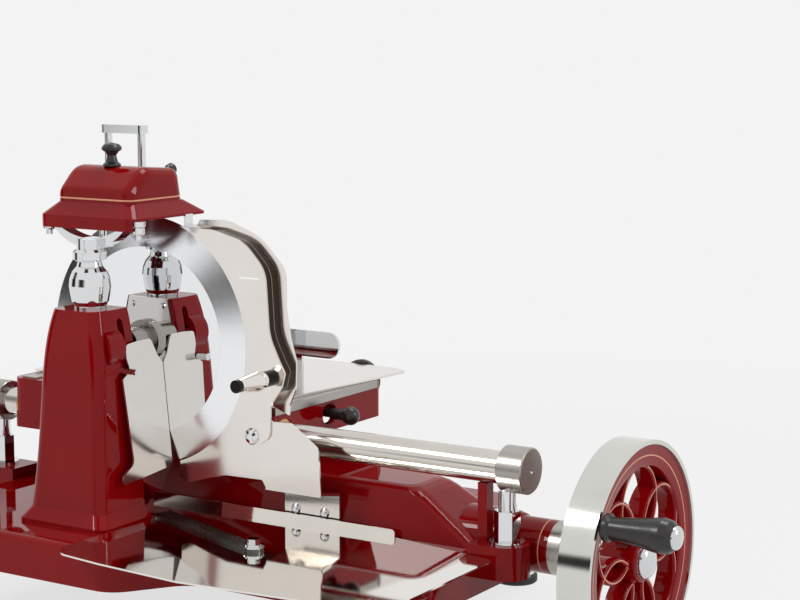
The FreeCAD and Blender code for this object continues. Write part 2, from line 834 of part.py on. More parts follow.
# ================================================================ neck, sharpener and cover
def column_neck():
    """Chrome egg-shaped neck with its turned collar, on top of the column."""
    base = COLUMN_LEVELS[0][0]
    profile = [(0, 0), (19, 0), (19, 3), (22, 8)]
    for angle in range(-20, 61, 20):
        r = NECK_R - 19 + 19 * math.cos(math.radians(angle))
        profile.append((r, 27 + 26 * math.sin(math.radians(angle))))
    collar = NECK_TOP - base
    profile += [(14, collar), (16, collar + 1), (COLLAR_R, collar + 3), (COLLAR_R, collar + COLLAR_HEIGHT - 3)]
    profile += [(17, collar + COLLAR_HEIGHT), (0, collar + COLLAR_HEIGHT)]
    return turned(profile, vec(NECK_X, NECK_Y, base), Z_AXIS)


def collar_top():
    """Top of the neck's collar."""
    return NECK_TOP + COLLAR_HEIGHT


def bracket_ends():
    """x of the curved arm's two ends, under the hood's skirt."""
    return (COVER_X[0] - SKIRT_OUT + PAD_REACH, COVER_X[1] + SKIRT_OUT - PAD_REACH)


def arm_underside():
    """Height of the underside of the pads at the arm's ends."""
    return SKIRT_Z - SEAT - ARM_PAD


def thumb_screw_places():
    """x of the two pads beyond the arm's ends."""
    left, right = bracket_ends()
    return (left - PAD_REACH + 4, right + PAD_REACH - 4)


def sharpener_bracket():
    """Curved chrome arm that carries the hood, and the post for the stones."""
    low = collar_top()
    left, right = bracket_ends()
    top = SKIRT_Z - SEAT
    y = (ARM_Y - ARM_HALF, ARM_Y + ARM_HALF)
    place = flat_y(y[0])
    middle = (left + right) / 2
    under = [place(left, arm_underside()), place(middle, low), place(right, arm_underside())]
    over = [place(right, top), place(middle, low + ARM_HEIGHT), place(left, top)]
    edges = [
        Part.Arc(*under).toShape(),
        Part.LineSegment(under[2], over[0]).toShape(),
        Part.Arc(*over).toShape(),
        Part.LineSegment(over[2], under[0]).toShape(),
    ]
    parts = [Part.Face(Part.Wire(edges)).extrude(vec(0, y[1] - y[0], 0))]
    for end, x in zip((left, right), thumb_screw_places()):
        parts.append(block((min(end, x), max(end, x)), y, (arm_underside(), top)))
        parts.append(rod(vec(x, ARM_Y, arm_underside()), vec(x, ARM_Y, top), ARM_HALF))
    parts.append(rod(vec(NECK_X, NECK_Y, low), vec(NECK_X, NECK_Y, low + ARM_HEIGHT), COLLAR_R - 5))
    parts.append(block((NECK_X - 8, NECK_X + 8), (NECK_Y, STONE_POST_Y + 8), (low, low + ARM_HEIGHT - 2)))
    parts.append(rod(vec(NECK_X, STONE_POST_Y, low + 2), vec(NECK_X, STONE_POST_Y, slide_top() + 2), STONE_POST_R))
    return joined(parts)


def thumb_screws():
    """Two knurled thumb screws under the arm's pads."""
    screws = []
    for x in thumb_screw_places():
        profile = [(0, 0), (7, 0), (8, 1.5), (8, 8.5), (7, 10), (4, 10), (4, 16), (0, 16)]
        screws.append(turned(profile, vec(x, ARM_Y, arm_underside()), vec(0, 0, -1)))
    return screws


def sharpening_stones():
    """Two small grinding wheels, one for each side of the edge."""
    wheels = []
    for x, y, _ in STONES:
        start = vec(x, y, stone_height())
        wheels.append(pipe(start, start + vec(0, STONE_THICK, 0), STONE_R, STONE_SPINDLE_R))
    return wheels


def stone_height():
    """Height of the stones' axis, just clear of the blade's edge when parked."""
    return BLADE_R + STONE_R + STONE_GAP


def slide_top():
    """Top of the stone slide's sleeve, under the hood's brow."""
    return stone_height() + 10


def stone_carrier():
    """Slide on the post with the two stone spindles, one on each side of the blade."""
    height = stone_height()
    x = NECK_X
    top = height + 16
    sleeve = block((x - 10, x + 10), (STONE_POST_Y - 8, STONE_POST_Y + 8), (height - 8, slide_top()))
    beam = block((x - 6, x + 6), (STONE_POST_Y, STONES[0][2]), (height + 6, top))
    parts = [sleeve, beam]
    for stone_x, y, lug_y in STONES:
        reach = (min(stone_x, x) - 5, max(stone_x, x) + 5)
        lug = (min(lug_y, lug_y - 5), lug_y)
        parts.append(block(reach, lug, (height - 6, top)))
        ends = sorted((y - 1.0 if lug_y > y else y + STONE_THICK + 1.0, lug_y - 2))
        parts.append(rod(vec(stone_x, ends[0], height), vec(stone_x, ends[1], height), STONE_SPINDLE_R - RUNNING))
    hole = rod(vec(x, STONE_POST_Y, 100), vec(x, STONE_POST_Y, 260), STONE_POST_R + RUNNING)
    return joined(parts).cut(hole)


def cover_profile(x, shrink, inset):
    """Side profile of the hood's upper body: a steep brow, the crown and a gentle fall to the rear."""
    grow = shrink + inset
    front, back = COVER_Y[0] + grow, COVER_Y[1] - grow
    roof = ROOF_Z - grow
    low = SKIRT_Z + 1.0
    corners = (
        (front, low, 0.0),
        (front, roof - BROW_DROP, 12.0),
        (CROWN_Y, roof, 30.0),
        (back - 10.0, roof - TAIL_DROP, 10.0),
        (back, low, 0.0),
    )
    return outline(corners, flat_x(x))


def cover_upper(shrink):
    """Upper body of the hood, its ends rounded over into the roof."""
    left, right = COVER_X[0] + shrink, COVER_X[1] - shrink
    steps = [(COVER_ROUND * (1 - math.cos(math.radians(a))), COVER_ROUND * (1 - math.sin(math.radians(a))))
             for a in (0, 22, 45, 68, 90)]
    sections = [(left + along, inset) for along, inset in steps]
    sections += [(right - along, inset) for along, inset in reversed(steps)]
    return Part.makeLoft([cover_profile(x, shrink, inset) for x, inset in sections], True, True)


def skirt_wire(level, shrink):
    """Outline of the hood's skirt: level 0 is its flared edge, level 1 meets the upper body."""
    out = (1 - level) * SKIRT_OUT - shrink
    rear = out + (1 - level) * REAR_FLARE
    x = (COVER_X[0] - out, COVER_X[1] + out)
    y = (COVER_Y[0] - out, COVER_Y[1] + rear)
    return rectangle(x, y, COVER_ROUND)


def cover_body(shrink):
    """Outside of the cover, or its inside when shrunk by the wall."""
    low = SKIRT_Z - (1 if shrink else 0)
    edge = outline(skirt_wire(0, shrink), flat_z(low))
    lip = outline(skirt_wire(0, shrink), flat_z(SKIRT_Z + 3))
    neck = outline(skirt_wire(1, shrink), flat_z(COVER_Z + 10))
    skirt = Part.makeLoft([edge, lip, neck], True, True)
    return joined([skirt, cover_upper(shrink)])


def cover_apron():
    """Front edge of the skirt that hangs lower, in front of the arm."""
    low = SKIRT_Z - APRON_DROP
    ring = slab(skirt_wire(0, 0.0), low, SKIRT_Z + 1).cut(slab(skirt_wire(0, COVER_WALL), low - 1, SKIRT_Z + 2))
    behind = ARM_Y - ARM_HALF - 1.5
    return ring.cut(block((-300, 300), (behind, 300), (low - 1, SKIRT_Z + 2)))


def sharpener_cover():
    """Gloss red hood over the sharpening stones."""
    return joined([cover_body(0.0).cut(cover_body(COVER_WALL)), cover_apron()])


def crown():
    """Point on the hood's roof under the knob."""
    return vec((COVER_X[0] + COVER_X[1]) / 2, CROWN_Y + 6.0, ROOF_Z - 1.0)


def cover_knobs():
    """Black waisted knob on the hood's crown, and the small one on its rear face."""
    h = COVER_KNOB_H
    r = COVER_KNOB_R
    profile = [(0, 0), (r * 0.9, 0), (r * 0.9, 2), (r * 0.6, 5), (r * 0.45, h * 0.45), (r * 0.7, h * 0.6),
               (r, h * 0.68), (r, h * 0.8), (r * 0.75, h * 0.92), (0, h)]
    big = turned(profile, crown(), Z_AXIS).cut(cover_body(0.0))
    start = vec(COVER_X[1] - SMALL_KNOB_IN, COVER_Y[1] - 14.0, ROOF_Z - TAIL_DROP - 9.0)
    profile = [(0, 0), (4, 0), (4, 12), (7, 15), (7, 21), (5, 23), (0, 23)]
    small = turned(profile, start, vec(0, 1, 0.35)).cut(cover_body(0.0))
    return [big, max(small.Solids, key=lambda piece: piece.BoundBox.YMax)]


def cover_clip():
    """Chrome spring clip under the hood's right rear corner."""
    x = COVER_X[1] + SKIRT_OUT
    return panel(
        ((x + 0.0, SKIRT_Z + 2, 0), (x + 0.0, SKIRT_Z - 16, 4), (x + 14, SKIRT_Z - 16, 4), (x + 14, SKIRT_Z - 10, 0),
         (x + 2.5, SKIRT_Z - 10, 0), (x + 2.5, SKIRT_Z + 2, 0)),
        20.0,
        34.0,
    )


# ================================================================ deflector
def deflector_plane(y, z):
    """x of the deflector's leaning sheet at a height."""
    share = (DEFLECTOR_TOP_Z - z) / (DEFLECTOR_TOP_Z - DEFLECTOR_LOW_Z)
    return DEFLECTOR_TOP_X + share * (DEFLECTOR_LOW_X - DEFLECTOR_TOP_X)


def deflector_plate():
    """Leaning stainless sheet that turns the slices down onto the tray."""
    back = BLADE_FRONT - DEFLECTOR_GAP
    corners = (
        (DEFLECTOR_FRONT, DEFLECTOR_TOP_Z - 2, 6),
        (-46, DEFLECTOR_TOP_Z, 20),
        (-24, DEFLECTOR_TOP_Z, 7),
        (-13.5, -16, 4),
        (back, -25, 3),
        (back, DEFLECTOR_LOW_Z, 3),
        (DEFLECTOR_FRONT - 26, DEFLECTOR_LOW_Z - 8, 5),
        (DEFLECTOR_FRONT - 26, DEFLECTOR_LOW_Z + 2, 4),
        (DEFLECTOR_FRONT - 4, DEFLECTOR_LOW_Z + 14, 10),
        (DEFLECTOR_FRONT - 10, PEG_Z - PEG_R - 4, 3),
        (PEG_Y + PEG_R + 2, PEG_Z, 2),
        (DEFLECTOR_FRONT, PEG_Z + PEG_R + 10, 5),
    )
    wire = outline(corners, lambda u, v: vec(deflector_plane(u, v), u, v))
    sheet = Part.Face(wire).extrude(vec(SHEET, 0, 0))
    clear = rod(vec(0, PEG_Y, PEG_Z), vec(60, PEG_Y, PEG_Z), PEG_R + SEAT)
    return sheet.cut(clear)


def deflector_peg():
    """Peg on the column's side that the deflector hangs on."""
    peg = rod(vec(DEFLECTOR_TOP_X - 4, PEG_Y, PEG_Z), vec(PEG_END, PEG_Y, PEG_Z), PEG_R)
    pieces = peg.cut(blade_column()).Solids
    return max(pieces, key=lambda piece: piece.BoundBox.XMax)


# ================================================================ blade group
def blade():
    """Hollow-ground round knife with a mirror face and a ground bevel."""
    profile = [
        (BLADE_BORE_R, BLADE_FRONT),
        (BLADE_FACE_R, BLADE_FRONT),
        (BLADE_R, BLADE_EDGE_Y),
        (BLADE_R, BLADE_BACK),
        (BLADE_HOLLOW_R, BLADE_BACK),
        (BLADE_HOLLOW_R - 4, BLADE_BACK - BLADE_HOLLOW),
        (BLADE_BORE_R, BLADE_BACK - BLADE_HOLLOW),
    ]
    return turned(profile, vec(0, 0, 0), Y_AXIS)


def blade_hub():
    """Spindle with the flange that the blade is bolted to."""
    flange_front = BLADE_FRONT - HUB_LENGTH
    profile = [
        (0, SPINDLE_END),
        (SPINDLE_R, SPINDLE_END),
        (SPINDLE_R, flange_front),
        (HUB_R, flange_front),
        (HUB_R, BLADE_FRONT),
        (BLADE_BORE_R, BLADE_FRONT),
        (BLADE_BORE_R, BLADE_BACK - BLADE_HOLLOW),
        (0, BLADE_BACK - BLADE_HOLLOW),
    ]
    return turned(profile, vec(0, 0, 0), Y_AXIS)


def blade_cap():
    """Disc with four screw heads in the blade's hollow back."""
    seat = BLADE_BACK - BLADE_HOLLOW
    disc = rod(vec(0, seat, 0), vec(0, seat + 1.2, 0), BLADE_CAP_R)
    heads = []
    for i in range(4):
        angle = math.radians(45 + 90 * i)
        start = vec(21 * math.cos(angle), seat + 1.2, 21 * math.sin(angle))
        heads.append(rod(start, start + vec(0, 1.0, 0), 4.5))
    return joined([disc] + heads)


def pitch_radius(teeth):
    """Pitch radius of a chain sprocket."""
    return CHAIN_PITCH / (2.0 * math.sin(math.pi / teeth))


def sprocket(teeth, x, z, bore, width):
    """Chain sprocket across the y axis."""
    radius = pitch_radius(teeth)
    disc = toothed_disc(teeth, radius - 2.0, radius + 1.6, width, 0.12)
    disc = placed(disc, vec(x, CHAIN_Y - width / 2, z), Y_AXIS)
    return disc.cut(rod(vec(x, -110, z), vec(x, -50, z), bore))


def drive_chain():
    """Chain loop that carries the lower sprocket's turn up to the spindle."""
    half = CHAIN_WIDTH / 2
    top = pitch_radius(UPPER_TEETH) + 1.6 + SEAT
    low = pitch_radius(LOWER_TEETH) + 1.6 + SEAT
    outer = chain_space(top + CHAIN_THICK, low + CHAIN_THICK, CHAIN_Y - half, CHAIN_Y + half)
    return outer.cut(chain_space(top, low, CHAIN_Y - half - 1, CHAIN_Y + half + 1))


# ================================================================ ring guard
def blade_circle_cut(radius):
    """Cylinder that clears the blade."""
    return rod(vec(0, -60, 0), vec(0, 60, 0), radius)


def inset_edge(edge, distance):
    """An edge list drawn in towards the blade by a distance."""
    moved = []
    for x, z, radius in edge:
        length = math.hypot(x, z)
        moved.append((x - distance * x / length, z - distance * z / length, max(radius - distance, 1.0)))
    return moved


def guard_front():
    """Front plate of the ring guard."""
    plate = panel(GUARD_EDGE + ((0.0, 0.0, 0.0),), GUARD_FRONT, GUARD_FRONT + SHEET)
    plate = plate.cut(blade_circle_cut(GUARD_INNER_R))
    slit = block((142, 172), (GUARD_FRONT - 1, GUARD_FRONT + SHEET + 1), (84.5, 86.5))
    return plate.cut(slit)


def ring_guard():
    """Formed sheet guard round the blade: front plate, turned-back wall and outer flange."""
    wall_edge = GUARD_EDGE[:9] + ((150.0, -60.0, 0.0),)
    outer = guard_prism(inset_edge(wall_edge, GUARD_INSET), GUARD_FRONT + SHEET, FLANGE_Y + SHEET)
    inner = guard_prism(inset_edge(wall_edge, GUARD_INSET + SHEET), GUARD_FRONT, FLANGE_Y + SHEET + 1)
    wall = outer.cut(inner).cut(blade_circle_cut(GUARD_INNER_R + 4))
    wall = wall.cut(block((-10, 240), (-20, 20), (-200, GUARD_WALL_END)))
    body = joined([guard_front(), wall, guard_flange()])
    pivot = rod(vec(GUARD_PIVOT[0], -20, GUARD_PIVOT[1]), vec(GUARD_PIVOT[0], 0, GUARD_PIVOT[1]), GUARD_PIVOT_R + RUNNING)
    return body.cut(pivot)


def guard_prism(edge, front, back):
    """Sector between an outer edge and the blade's centre."""
    return panel(list(edge) + [(0.0, 0.0, 0.0)], front, back)


def guard_flange():
    """Set-back outer flange of the ring guard."""
    outer = guard_prism(FLANGE_EDGE, FLANGE_Y, FLANGE_Y + SHEET)
    inner = guard_prism(inset_edge(FLANGE_EDGE, FLANGE_WIDTH), FLANGE_Y - 1, FLANGE_Y + SHEET + 1)
    return outer.cut(inner).cut(blade_circle_cut(GUARD_INNER_R + 2))


def guard_pivot_screw():
    """Shouldered screw that the guard swings on, through the lower plate."""
    x, z = GUARD_PIVOT
    head = dome_screw(vec(x, GUARD_FRONT - SEAT, z), vec(0, -1, 0), GUARD_SCREW_R, 4.0)
    shank = rod(vec(x, GUARD_FRONT - SEAT, z), vec(x, LOWER_PLATE_Y + SHEET, z), GUARD_PIVOT_R)
    nut = rod(vec(x, LOWER_PLATE_Y + SHEET, z), vec(x, LOWER_PLATE_Y + SHEET + 4, z), GUARD_SCREW_R - 1)
    return joined([head, shank, nut])


def guard_knob():
    """Locking knob: dark neck, bright cone and black end disc."""
    x, z = KNOB_AXIS
    length = KNOB_LENGTH
    profile = [(0, 0), (9.5, 0), (9.5, 10), (7, 12), (7, 17), (12, 20), (12, 24), (7.5, length - 6), (7.5, length), (0, length)]
    return turned(profile, vec(x, GUARD_FRONT - SEAT, z), vec(0, -1, 0))


def lower_guard_plate():
    """Bare stainless plate under the ring guard, with its shelf to the bracket."""
    corners = (
        (188.0, -81.0, 3.0),
        (214.0, -80.0, 10.0),
        (252.0, -106.0, 10.0),
        (256.0, -163.0, 3.0),
        (177.0, -160.0, 3.0),
        (172.0, -152.0, 3.0),
        (118.0, -153.0, 6.0),
        (92.0, -160.0, 6.0),
        (62.0, -169.0, 6.0),
        (50.0, -164.0, 5.0),
        (50.0, -140.0, 0.0),
        (110.0, -60.0, 0.0),
    )
    plate = panel(corners, LOWER_PLATE_Y, LOWER_PLATE_Y + SHEET)
    plate = plate.cut(blade_circle_cut(GUARD_INNER_R))
    pivot = rod(vec(GUARD_PIVOT[0], -20, GUARD_PIVOT[1]), vec(GUARD_PIVOT[0], 0, GUARD_PIVOT[1]), GUARD_PIVOT_R)
    plate = plate.cut(pivot)
    return joined([plate, guard_shelf(), guard_bracket()])


def guard_shelf():
    """Bent-back shelf between the lower plate and the bracket."""
    front = LOWER_PLATE_Y
    rear = BRACKET_Y + SHEET
    corners = ((front, -163.0), (front, -160.0), (front + SHEET, -158.5), (rear, BRACKET_TOP), (rear, BRACKET_TOP - SHEET - 1),
               (front + SHEET, -161.5))
    return side_panel(corners, BRACKET_X[0], BRACKET_X[1])


def guard_bracket():
    """Upright plate that screws the guard to the hump."""
    return block(BRACKET_X, (BRACKET_Y, BRACKET_Y + SHEET), (DECK_Z + SEAT, BRACKET_TOP - SHEET))


def bracket_screws():
    """Two round-head screws in the bracket."""
    heads = []
    for x in BRACKET_SCREWS:
        heads.append(dome_screw(vec(x, BRACKET_Y, BRACKET_SCREW_Z), vec(0, -1, 0), 6.5, 3.5))
    return heads


# ================================================================ tray
def tray():
    """Polished slice tray with an upturned rear lip."""
    sheet = slab(TRAY_OUTLINE, TRAY_TOP - TRAY_SHEET, TRAY_TOP)
    lip = panel(
        ((LIP_X[0], TRAY_TOP - TRAY_SHEET, 0), (LIP_X[1], TRAY_TOP - TRAY_SHEET, 0), (LIP_X[1], TRAY_TOP + LIP_HEIGHT, 4), (LIP_X[0], TRAY_TOP + LIP_HEIGHT, 0)),
        30.0 - TRAY_SHEET,
        30.0,
    )
    return joined([sheet, lip])


def tray_clamp_bar():
    """Flat dark bar that holds the tray down."""
    start = vec(44.0, -32.0, TRAY_TOP)
    end = vec(232.0, -103.0, TRAY_TOP)
    along = (end - start).normalize()
    across = Z_AXIS.cross(along) * 11.0
    points = [start + across, start - across, end - across, end + across]
    face = Part.Face(Part.makePolygon(points + points[:1]))
    bar = face.extrude(vec(0, 0, 4.0))
    return joined([bar, rod(end, end + vec(0, 0, 4.0), 11.0)])


def tray_bolt():
    """Hexagon bolt and washers that fasten the bar."""
    seat = vec(232.0, -103.0, TRAY_TOP + 4.0)
    washer = rod(seat, seat + vec(0, 0, 2), 11.5)
    washer_two = rod(seat + vec(0, 0, 2), seat + vec(0, 0, 4), 9.5)
    head = hex_bar(seat + vec(0, 0, 4), 13.0, 6.0)
    return joined([washer, washer_two, head])


# ================================================================ guide tube
def tube_line(x, radius):
    """Cylinder on the guide tube's axis."""
    return rod(vec(x[0], TUBE_Y, TUBE_Z), vec(x[1], TUBE_Y, TUBE_Z), radius)


def guide_tube():
    """Polished tube that the carriage runs on."""
    inner = TUBE_R - 4.0
    ends = (TUBE_X[0] + TUBE_CAP_LENGTH / 2, TUBE_X[1] - TUBE_CAP_LENGTH / 2)
    return tube_line(ends, TUBE_R).cut(tube_line(ends, inner))


def tube_end_caps():
    """Two turned caps with a centre dimple, over the tube's ends."""
    caps = []
    for side, end in ((-1, TUBE_X[0]), (1, TUBE_X[1])):
        inner_end = end - side * TUBE_CAP_LENGTH
        profile = [(TUBE_R, 0), (TUBE_CAP_R - 1, 0), (TUBE_CAP_R, 1), (TUBE_CAP_R, TUBE_CAP_LENGTH - 1.5),
                   (TUBE_CAP_R - 1.5, TUBE_CAP_LENGTH), (3, TUBE_CAP_LENGTH), (0, TUBE_CAP_LENGTH - 2),
                   (0, TUBE_CAP_LENGTH / 2), (TUBE_R, TUBE_CAP_LENGTH / 2)]
        caps.append(turned(profile, vec(inner_end, TUBE_Y, TUBE_Z), vec(side, 0, 0)))
    return caps


def tube_studs():
    """Round studs that hold the tube's caps up."""
    studs = []
    top = TUBE_Z - TUBE_CAP_R + 4.0
    for x in STUD_PLACES:
        cap = tube_line((x - 40, x + 40), TUBE_CAP_R)
        studs.append(rod(vec(x, TUBE_Y, SPACER_Z[1]), vec(x, TUBE_Y, top), STUD_R).cut(cap))
    return studs


def stud_spacers():
    """Hexagonal spacers under the studs."""
    height = SPACER_Z[1] - SPACER_Z[0]
    return [hex_bar(vec(x, TUBE_Y, SPACER_Z[0]), SPACER_FLATS, height) for x in STUD_PLACES]


def stud_washers():
    """Wide washers under the spacers."""
    return [rod(vec(x, TUBE_Y, stud_seat()), vec(x, TUBE_Y, SPACER_Z[0]), WASHER_R) for x in STUD_PLACES]


# ================================================================ drive train
def shaft_bushes():
    """Two bushes for the drive shaft."""
    outer = SHAFT_R + BUSH_WALL
    places = ((WEB_X, WEB_X + BUSH_LENGTH), SLEEVE_BUSH_X)
    return [shaft_line(x, outer).cut(shaft_line(x, SHAFT_R + RUNNING)) for x in places]


def sleeve_ring():
    """Bright ring that closes the sleeve and holds the outer bush."""
    x = (SLEEVE_END, SLEEVE_END + CHROME_RING)
    return shaft_line(x, SLEEVE_R).cut(shaft_line(x, SHAFT_R + RUNNING))


def drive_shaft():
    """Main shaft from the bevel gear to the flywheel, the gear cut on its end."""
    shaft = bevel_shaft(shaft_end() - CROSS_X, SHAFT_R, 0.0)
    return placed(shaft, vec(CROSS_X, SHAFT_Y, SHAFT_Z), X_AXIS)


def bevel_back():
    """Distance from the gears' common apex to a bevel gear's back face."""
    return BEVEL_R + 4.0


def bevel_shaft(length, radius, turn):
    """Shaft with a straight bevel gear on its end, along Z with the gears' apex at the origin."""
    toe = BEVEL_R - BEVEL_FACE
    pitch = 2.0 * math.pi * BEVEL_R / BEVEL_TEETH
    root = pitch * 0.34
    drop = root * math.sqrt(0.5)
    profile = [
        (0, toe + drop),
        (toe - drop, toe + drop),
        (BEVEL_R - drop, BEVEL_R + drop),
        (BEVEL_R - drop - 2, bevel_back()),
        (radius, bevel_back()),
        (radius, length),
        (0, length),
    ]
    body = turned(profile, vec(0, 0, 0), Z_AXIS)
    tooth = bevel_tooth(toe, pitch, pitch * 0.26, root)
    teeth = []
    for i in range(BEVEL_TEETH):
        teeth.append(spun(tooth, vec(0, 0, 0), Z_AXIS, turn + 360.0 * i / BEVEL_TEETH))
    return joined([body] + teeth)


def bevel_tooth(toe, pitch, rise, root):
    """One tapered tooth that narrows towards the apex."""
    diagonal = math.sqrt(0.5)
    wires = []
    for radius in (toe, BEVEL_R):
        scale = radius / BEVEL_R
        points = []
        for height, half in ((-root - 0.8, 0.30), (rise, 0.12), (rise, -0.12), (-root - 0.8, -0.30)):
            out = radius + height * scale * diagonal
            along = radius - height * scale * diagonal
            points.append(vec(out, half * pitch * scale, along))
        wires.append(Part.makePolygon(points + points[:1]))
    return Part.makeLoft(wires, True, True)


def cross_shaft():
    """Shaft from the bevel pair to the lower sprocket, half a tooth out of step with its mate."""
    shaft = bevel_shaft(SHAFT_Y - SPINDLE_END, CROSS_R, 180.0 / BEVEL_TEETH)
    return placed(shaft, vec(CROSS_X, SHAFT_Y, SHAFT_Z), vec(0, -1, 0))


def cross_bush_places():
    """y of the bushes in the column's front wall and in the tunnel's rear end."""
    return ((SPINDLE_END, CAVITY_FRONT), (HUMP_LOW[0][1] - 4, HUMP_LOW[0][1] + 8))


def cross_shaft_bushes():
    """Two bushes for the cross shaft."""
    outer = CROSS_R + BUSH_WALL
    return [cross_line(y, outer).cut(cross_line(y, CROSS_R + RUNNING)) for y in cross_bush_places()]


def crank_pinion():
    """Small spur gear on the drive shaft that turns the crank gear."""
    radius = GEAR_MODULE * PINION_TEETH / 2.0
    disc = toothed_disc(PINION_TEETH, radius - 3.2, radius + 2.2, PINION_FACE, 0.12)
    disc = placed(disc, vec(0, 0, 0), X_AXIS)
    disc = shifted(disc, PINION_X - PINION_FACE / 2, SHAFT_Y, SHAFT_Z)
    return disc.cut(shaft_line((PINION_X - PINION_FACE, PINION_X + PINION_FACE), SHAFT_R))


def crank_pitch_z():
    """Height of the plane where the pinion and the crank gear meet."""
    return SHAFT_Z - GEAR_MODULE * PINION_TEETH / 2.0


def crank_gear():
    """Face gear on the upright post, its teeth on its upper side."""
    radius = GEAR_MODULE * CRANK_TEETH / 2.0
    pitch_z = crank_pitch_z()
    top = pitch_z + 2.0
    root = pitch_z - 3.2
    inner = radius - PINION_FACE / 2 - 1.0
    outer = radius + PINION_FACE / 2 + 1.0
    body = rod(vec(crank_x(), SHAFT_Y, ARM_Z[1]), vec(crank_x(), SHAFT_Y, root), outer)
    teeth = []
    step = 2.0 * math.pi / CRANK_TEETH
    for i in range(CRANK_TEETH):
        tooth = face_tooth(inner, outer, root, top, step)
        angle = 360.0 * (i + 0.5) / CRANK_TEETH
        teeth.append(spun(tooth, vec(0, 0, 0), Z_AXIS, angle))
    ring = shifted(Part.makeCompound(teeth), crank_x(), SHAFT_Y, 0)
    body = joined([body] + ring.Solids)
    return body.cut(rod(vec(crank_x(), SHAFT_Y, -300), vec(crank_x(), SHAFT_Y, -200), CRANK_POST_R + RUNNING))


def face_tooth(inner, outer, root, top, step):
    """One radial tooth of the face gear, along +X."""
    wires = []
    for radius in (inner, outer):
        points = []
        for height, share in ((root - 0.5, 0.26), (top, 0.10), (top, -0.10), (root - 0.5, -0.26)):
            points.append(vec(radius, share * step * radius, height))
        wires.append(Part.makePolygon(points + points[:1]))
    return Part.makeLoft(wires, True, True)


def crank_post():
    """Cross bar under the shaft with the post that the crank gear turns on."""
    under_deck = DECK_Z - BASE_WALL
    x = crank_x()
    bar = block((x - 15, x + 15), (HUMP_LOW[0][1] - 14, HUMP_LOW[1][1] + 14), (crank_pitch_z() + 2.6, under_deck))
    bar = bar.cut(shaft_line((x - 20, x + 20), SHAFT_R + 0.6))
    post = rod(vec(x, SHAFT_Y, ARM_Z[0]), vec(x, SHAFT_Y, crank_pitch_z() + 3), CRANK_POST_R)
    return joined([bar, post])


def crank_arm():
    """Arm under the crank gear with the connecting rod's pin."""
    centre = vec(crank_x(), SHAFT_Y, 0)
    pin_x = crank_x() - CRANK_RADIUS
    low, high = ARM_Z
    hub = rod(vec(centre.x, SHAFT_Y, low), vec(centre.x, SHAFT_Y, high), 20.0)
    eye = rod(vec(pin_x, SHAFT_Y, low), vec(pin_x, SHAFT_Y, high), EYE_R)
    bar = block((pin_x, centre.x), (SHAFT_Y - 9, SHAFT_Y + 9), ARM_Z)
    pin = rod(vec(pin_x, SHAFT_Y, ROD_Z[0]), vec(pin_x, SHAFT_Y, low), ROD_PIN_R)
    body = joined([hub, eye, bar, pin])
    return body.cut(rod(vec(centre.x, SHAFT_Y, low - 1), vec(centre.x, SHAFT_Y, high + 1), CRANK_POST_R + RUNNING))


def connecting_rod():
    """Rod from the crank pin to the carriage's drive arm."""
    pin_x = crank_x() - CRANK_RADIUS
    low, high = ROD_Z
    parts = [block((drive_x(), pin_x), (SHAFT_Y - 6, SHAFT_Y + 6), ROD_Z)]
    for x in (drive_x(), pin_x):
        parts.append(rod(vec(x, SHAFT_Y, low), vec(x, SHAFT_Y, high), EYE_R))
    body = joined(parts)
    body = body.cut(rod(vec(pin_x, SHAFT_Y, low - 1), vec(pin_x, SHAFT_Y, high + 1), ROD_PIN_R + RUNNING))
    stub = rod(vec(drive_x(), SHAFT_Y, high), vec(drive_x(), SHAFT_Y, TAB_Z[0] - SEAT), ROD_PIN_R)
    return joined([body, stub])


# ================================================================ flywheel
def wheel_ring(outer, inner, x):
    """Ring on the drive shaft's axis."""
    return shaft_line(x, outer).cut(shaft_line(x, inner))


def flywheel_rim():
    """Polished band round the wheel."""
    return wheel_ring(WHEEL_R, WHEEL_R - RIM_BAND, WHEEL_X)


def wheel_profile_ring():
    """Red felloe inside the band, with its recessed face."""
    outer = WHEEL_R - RIM_BAND
    x0, x1 = WHEEL_X
    profile = [(RING_INNER_R, x0 + 8), (outer, x0 + 3), (outer, x1 - 3), (RING_INNER_R, x1 - 5)]
    return turned(profile, vec(0, SHAFT_Y, SHAFT_Z), X_AXIS)


def petal(x, wall):
    """Teardrop petal across the x axis, along +Z; wall draws it in for its opening."""
    inner = (0.0, PETAL_ROOT + 1.6 * wall)
    drop = racetrack((0.0, PETAL_CENTRE), PETAL_R - wall, inner, PETAL_ROOT_R - wall / 2, x[0], x[1])
    return shifted(spun(drop, vec(0, 0, 0), Z_AXIS, -90), 0, SHAFT_Y, SHAFT_Z)


def web_x():
    """Front and back of the flower web."""
    front = WHEEL_X[1] - WEB_INSET
    return (front - WEB_THICK, front)


